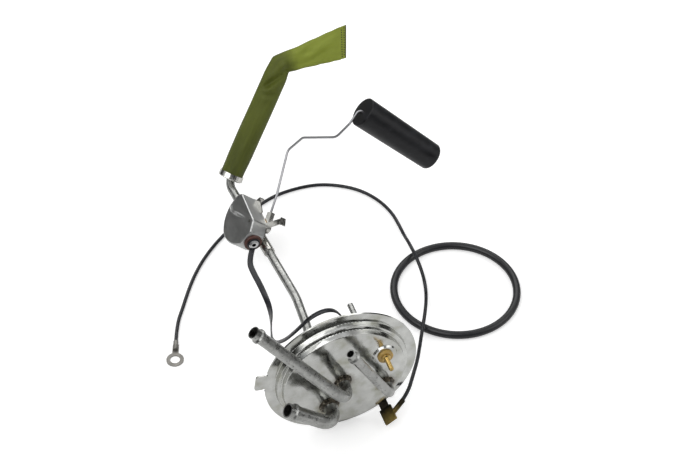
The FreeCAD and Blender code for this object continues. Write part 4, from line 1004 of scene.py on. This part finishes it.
def make_stud():
    """The brass stud with a helical thread, its flange and its inner end."""
    pitch = bpy.context.scene.unit_metal.thread_pitch / MM
    reaches = {"plain": STUD_R, "flange": STUD_FLANGE_R, "flange edge": STUD_FLANGE_R - FLANGE_CHAMFER,
               "tip": STUD_R - STUD_CHAMFER}

    def threaded(at, stop):
        heights = []
        while at > stop:
            heights.append((at, "thread"))
            at -= pitch / SLICES_PER_PITCH
        return heights

    def reach(angle, y, kind):
        if kind in reaches:
            return reaches[kind]
        turn = (y / pitch + angle / (2 * math.pi)) % 1.0
        edge = min(y - STUD_TIP, STUD_INNER_END - y, STUD_CHAMFER)
        return min(STUD_R - THREAD_DEPTH * (1 - abs(2 * turn - 1)), STUD_R - STUD_CHAMFER + edge)

    profile = threaded(STUD_INNER_END, STUD_FLANGE_FOOT)
    profile += [(STUD_FLANGE_FOOT, "plain"), (STUD_FLANGE_FOOT, "flange"),
                (STUD_FLANGE_TOP + FLANGE_CHAMFER, "flange"), (STUD_FLANGE_TOP, "flange edge"),
                (STUD_FLANGE_TOP, "plain")]
    profile += threaded(STUD_FLANGE_TOP - THREAD_START, STUD_TIP) + [(STUD_TIP, "tip")]
    rows = turned_rows(STUD_X, STUD_Z, profile, STUD_SIDES, reach)
    stud = add_piece("threaded_stud", rows, "stud_brass")
    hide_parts("terminal_stud")


def make_winding():
    """Turns of resistance wire across the inside of the card."""
    turns = bpy.context.scene.unit_metal.winding_turns
    places = []
    for index in range(turns):
        angle = math.radians(WINDING_FROM + (WINDING_TO - WINDING_FROM) * index / (turns - 1))
        spot = PIVOT + AXIS_S * WINDING_R * math.cos(angle) + AXIS_T * WINDING_R * math.sin(angle)
        places.append((spot + AXIS_M * WINDING_HEIGHT) * MM)
    wire = scattered("wire_turns", "GeometryNodeMeshCylinder", {"Vertices": 8},
                     {"Radius": WINDING_WIRE_R * MM, "Depth": WINDING_WIRE_LENGTH * MM}, places,
                     "resistor_wire", AXIS_M.to_track_quat("Z", "Y").to_euler())
    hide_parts("resistance_winding")


def make_arm():
    """The bright bent wire that carries the float."""
    route = rounded_route(in_metres(ARM_ROUTE), [radius * MM for radius in ARM_RADII])
    wire = add_piece("bent_wire", swept_rows(route, ARM_WIRE / 2 * MM), "arm_wire", body="arm")
    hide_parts("float_arm")


# The sender's housing

def make_housing():
    """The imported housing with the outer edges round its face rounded, as drawn sheet metal has them."""
    least_face, least_side = 4 * MM * MM, 5 * MM
    shape = bmesh.new()
    shape.from_mesh(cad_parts["sender_housing"].data)
    bmesh.ops.remove_doubles(shape, verts=shape.verts, dist=0.002 * MM)
    bmesh.ops.dissolve_limit(shape, angle_limit=math.radians(1.0), verts=shape.verts, edges=shape.edges)
    front = min(vertex.co.dot(AXIS_M) for vertex in shape.verts) + 0.05 * MM
    edges = []
    for edge in shape.edges:
        if not edge.is_manifold or not edge.is_convex or edge.calc_face_angle() < SHARP_ANGLE:
            continue
        if min(face.calc_area() for face in edge.link_faces) < least_face:
            continue
        along = (edge.verts[1].co - edge.verts[0].co).normalized()
        on_front = max(vertex.co.dot(AXIS_M) for vertex in edge.verts) < front
        if on_front or (abs(along.dot(AXIS_M)) > 0.99 and edge.calc_length() > least_side):
            edges.append(edge)
    bmesh.ops.bevel(shape, geom=edges, offset=HOUSING_ROUND * MM, segments=4, profile=0.5, affect="EDGES",
                    clamp_overlap=False)
    mesh = bpy.data.meshes.new("drawn_housing")
    shape.to_mesh(mesh)
    shape.free()
    mesh.shade_smooth()
    mesh.set_sharp_from_angle(angle=SHARP_ANGLE)
    mesh.materials.clear()
    mesh.materials.append(FINISHES["housing_steel"])
    piece = placed("drawn_housing", mesh)
    even_normals(piece)
    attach(piece, "unit")
    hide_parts("sender_housing")


# The stage

def aimed(name, data, place, way):
    """A camera or lamp at PLACE that looks along WAY."""
    thing = placed(name, data)
    thing.location = place
    thing.rotation_mode = "QUATERNION"
    thing.rotation_quaternion = way.to_track_quat("-Z", "Y")
    return thing


def make_lamps():
    for name, (place, size, power) in LAMPS.items():
        data = bpy.data.lights.new(name, "AREA")
        data.shape = "RECTANGLE"
        data.size, data.size_y = size
        data.energy = power
        aimed(name, data, place, LAMP_AIM - Vector(place))


def make_camera():
    """The camera that took the photograph, with plain colours."""
    bpy.context.scene.view_settings.view_transform = "Standard"
    turn, rise = math.radians(CAMERA_AZIMUTH), math.radians(CAMERA_ELEVATION)
    back = Vector((math.sin(turn) * math.cos(rise), -math.cos(turn) * math.cos(rise), math.sin(rise)))
    data = bpy.data.cameras.new("camera")
    data.sensor_width = SENSOR_WIDTH
    data.lens = CAMERA_FOCUS_PIXELS / PHOTO_WIDTH * SENSOR_WIDTH
    bpy.context.scene.camera = aimed("camera", data, CAMERA_AT, -back)


def make_world():
    """White to the camera, an even fill on the object, and a studio for metal to mirror."""
    world = bpy.data.worlds.new("studio")
    bpy.context.scene.world = world
    world.use_nodes = True
    world.node_tree.nodes.clear()
    nodes = Nodes(world.node_tree)

    def chosen(switch, under, over):
        made = nodes.node("ShaderNodeMixShader", Fac=switch)
        nodes.feed(made.inputs[1], under.outputs[0])
        nodes.feed(made.inputs[2], over.outputs[0])
        return made

    seen, glossy = nodes.seen_only()
    way = nodes.node("ShaderNodeTexCoord").outputs["Generated"]
    height = nodes.node("ShaderNodeSeparateXYZ", Vector=way).outputs["Z"]
    facing = nodes.node("ShaderNodeVectorMath")
    facing.operation = "DOT_PRODUCT"
    nodes.feed(facing.inputs[0], way)
    nodes.feed(facing.inputs[1], DARK_SIDE)
    dimmed = nodes.span(facing.outputs["Value"], 1.0, 0.25, 0.72, 1.0)
    fill = nodes.node("ShaderNodeBackground", Color=(1, 1, 1, 1), Strength=FILL_LIGHT)
    white = nodes.node("ShaderNodeBackground", Color=(1, 1, 1, 1), Strength=1.0)
    studio = nodes.node("ShaderNodeBackground", Color=nodes.ramp(height, STUDIO_WALLS), Strength=dimmed)
    shown = chosen(seen, chosen(glossy, fill, studio), white)
    nodes.node("ShaderNodeOutputWorld", Surface=shown.outputs[0])


def pale_floor(glow):
    """A pale floor that looks white where no shadow falls, mirrored by metal only near the unit."""
    finish = Finish("pale_floor", FLOOR_TONE, 0.9)
    seen, glossy = finish.seen_only()
    near = finish.span(finish.near(MIRRORED_AT, MIRRORED_REACH), 0.05, 0.95, 0.0, 0.7)
    mirrored = finish.blend(near, (0.0, 0.0, 0.0), (1.0, 1.0, 1.0))
    finish.colour(finish.blend(glossy, FLOOR_TONE, mirrored))
    finish.set("Emission Color", (1, 1, 1, 1))
    finish.set("Emission Strength", finish.span(seen, 0.0, glow))


def make_floor():
    settings = bpy.context.scene.unit_stage
    half = settings.floor_size / 2
    height = FLOOR_HEIGHT - FLOOR_DROP
    mesh = bpy.data.meshes.new("floor")
    mesh.from_pydata([(-half, -half, height), (half, -half, height), (half, half, height),
                      (-half, half, height)], [], [(0, 1, 2, 3)])
    pale_floor(settings.floor_glow)
    mesh.materials.append(FINISHES["pale_floor"])
    placed("floor", mesh)


# Operators

class UNIT_OT_stage(bpy.types.Operator):
    """Sets the camera, lamps, surroundings and floor"""
    bl_idname = "unit.stage"
    bl_label = "Stage"

    def execute(self, context):
        make_camera()
        make_world()
        make_floor()
        make_lamps()
        return {"FINISHED"}


class UNIT_OT_finishes(bpy.types.Operator):
    """Makes every finish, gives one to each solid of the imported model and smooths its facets"""
    bl_idname = "unit.finishes"
    bl_label = "Finishes"

    def execute(self, context):
        make_finishes()
        finish_solids()
        return {"FINISHED"}


class UNIT_OT_leads(bpy.types.Operator):
    """Lays the round ground lead and the flat sender lead"""
    bl_idname = "unit.leads"
    bl_label = "Leads"

    def execute(self, context):
        make_ground_lead()
        make_sender_lead()
        make_lead_end()
        return {"FINISHED"}


class UNIT_OT_sock(bpy.types.Operator):
    """Makes the woven sock with its creases and its welded end"""
    bl_idname = "unit.sock"
    bl_label = "Sock"

    def execute(self, context):
        make_sock()
        make_weld_edge()
        return {"FINISHED"}


class UNIT_OT_brazing(bpy.types.Operator):
    """Makes the brazed fillets where the tubes pass through the cover"""
    bl_idname = "unit.brazing"
    bl_label = "Brazed joints"

    def execute(self, context):
        make_brazes()
        return {"FINISHED"}


class UNIT_OT_electrics(bpy.types.Operator):
    """Makes the threaded stud, the resistor's winding, the arm's wire and the sender's housing"""
    bl_idname = "unit.electrics"
    bl_label = "Stud and sender"

    def execute(self, context):
        make_stud()
        make_winding()
        make_arm()
        make_housing()
        return {"FINISHED"}


class UNIT_PT_panel(bpy.types.Panel):
    """Lists the unit's settings and steps"""
    bl_idname = "UNIT_PT_panel"
    bl_label = "Sending unit"
    bl_space_type = "VIEW_3D"
    bl_region_type = "UI"
    bl_category = "Sending Unit"

    def draw(self, context):
        for name in SETTINGS:
            settings = getattr(context.scene, name)
            for field in settings.bl_rna.properties:
                if not field.is_readonly and field.identifier != "name":
                    self.layout.prop(settings, field.identifier)
        for step in STEPS:
            self.layout.operator(step.bl_idname)


SETTINGS = {"unit_sock": SockSettings, "unit_leads": LeadSettings, "unit_metal": MetalSettings,
            "unit_stage": StageSettings}
STEPS = (UNIT_OT_stage, UNIT_OT_finishes, UNIT_OT_leads, UNIT_OT_sock, UNIT_OT_brazing,
         UNIT_OT_electrics)


def register():
    for name, group in SETTINGS.items():
        bpy.utils.register_class(group)
        setattr(bpy.types.Scene, name, bpy.props.PointerProperty(type=group))
    for step in (*STEPS, UNIT_PT_panel):
        bpy.utils.register_class(step)


def unregister():
    for step in reversed((*STEPS, UNIT_PT_panel)):
        bpy.utils.unregister_class(step)
    for name, group in reversed(SETTINGS.items()):
        delattr(bpy.types.Scene, name)
        bpy.utils.unregister_class(group)


def main():
    register()
    bpy.ops.unit.stage()
    bpy.ops.unit.finishes()
    bpy.ops.unit.leads()
    bpy.ops.unit.sock()
    bpy.ops.unit.brazing()
    bpy.ops.unit.electrics()


if __name__ == "__main__":
    main()
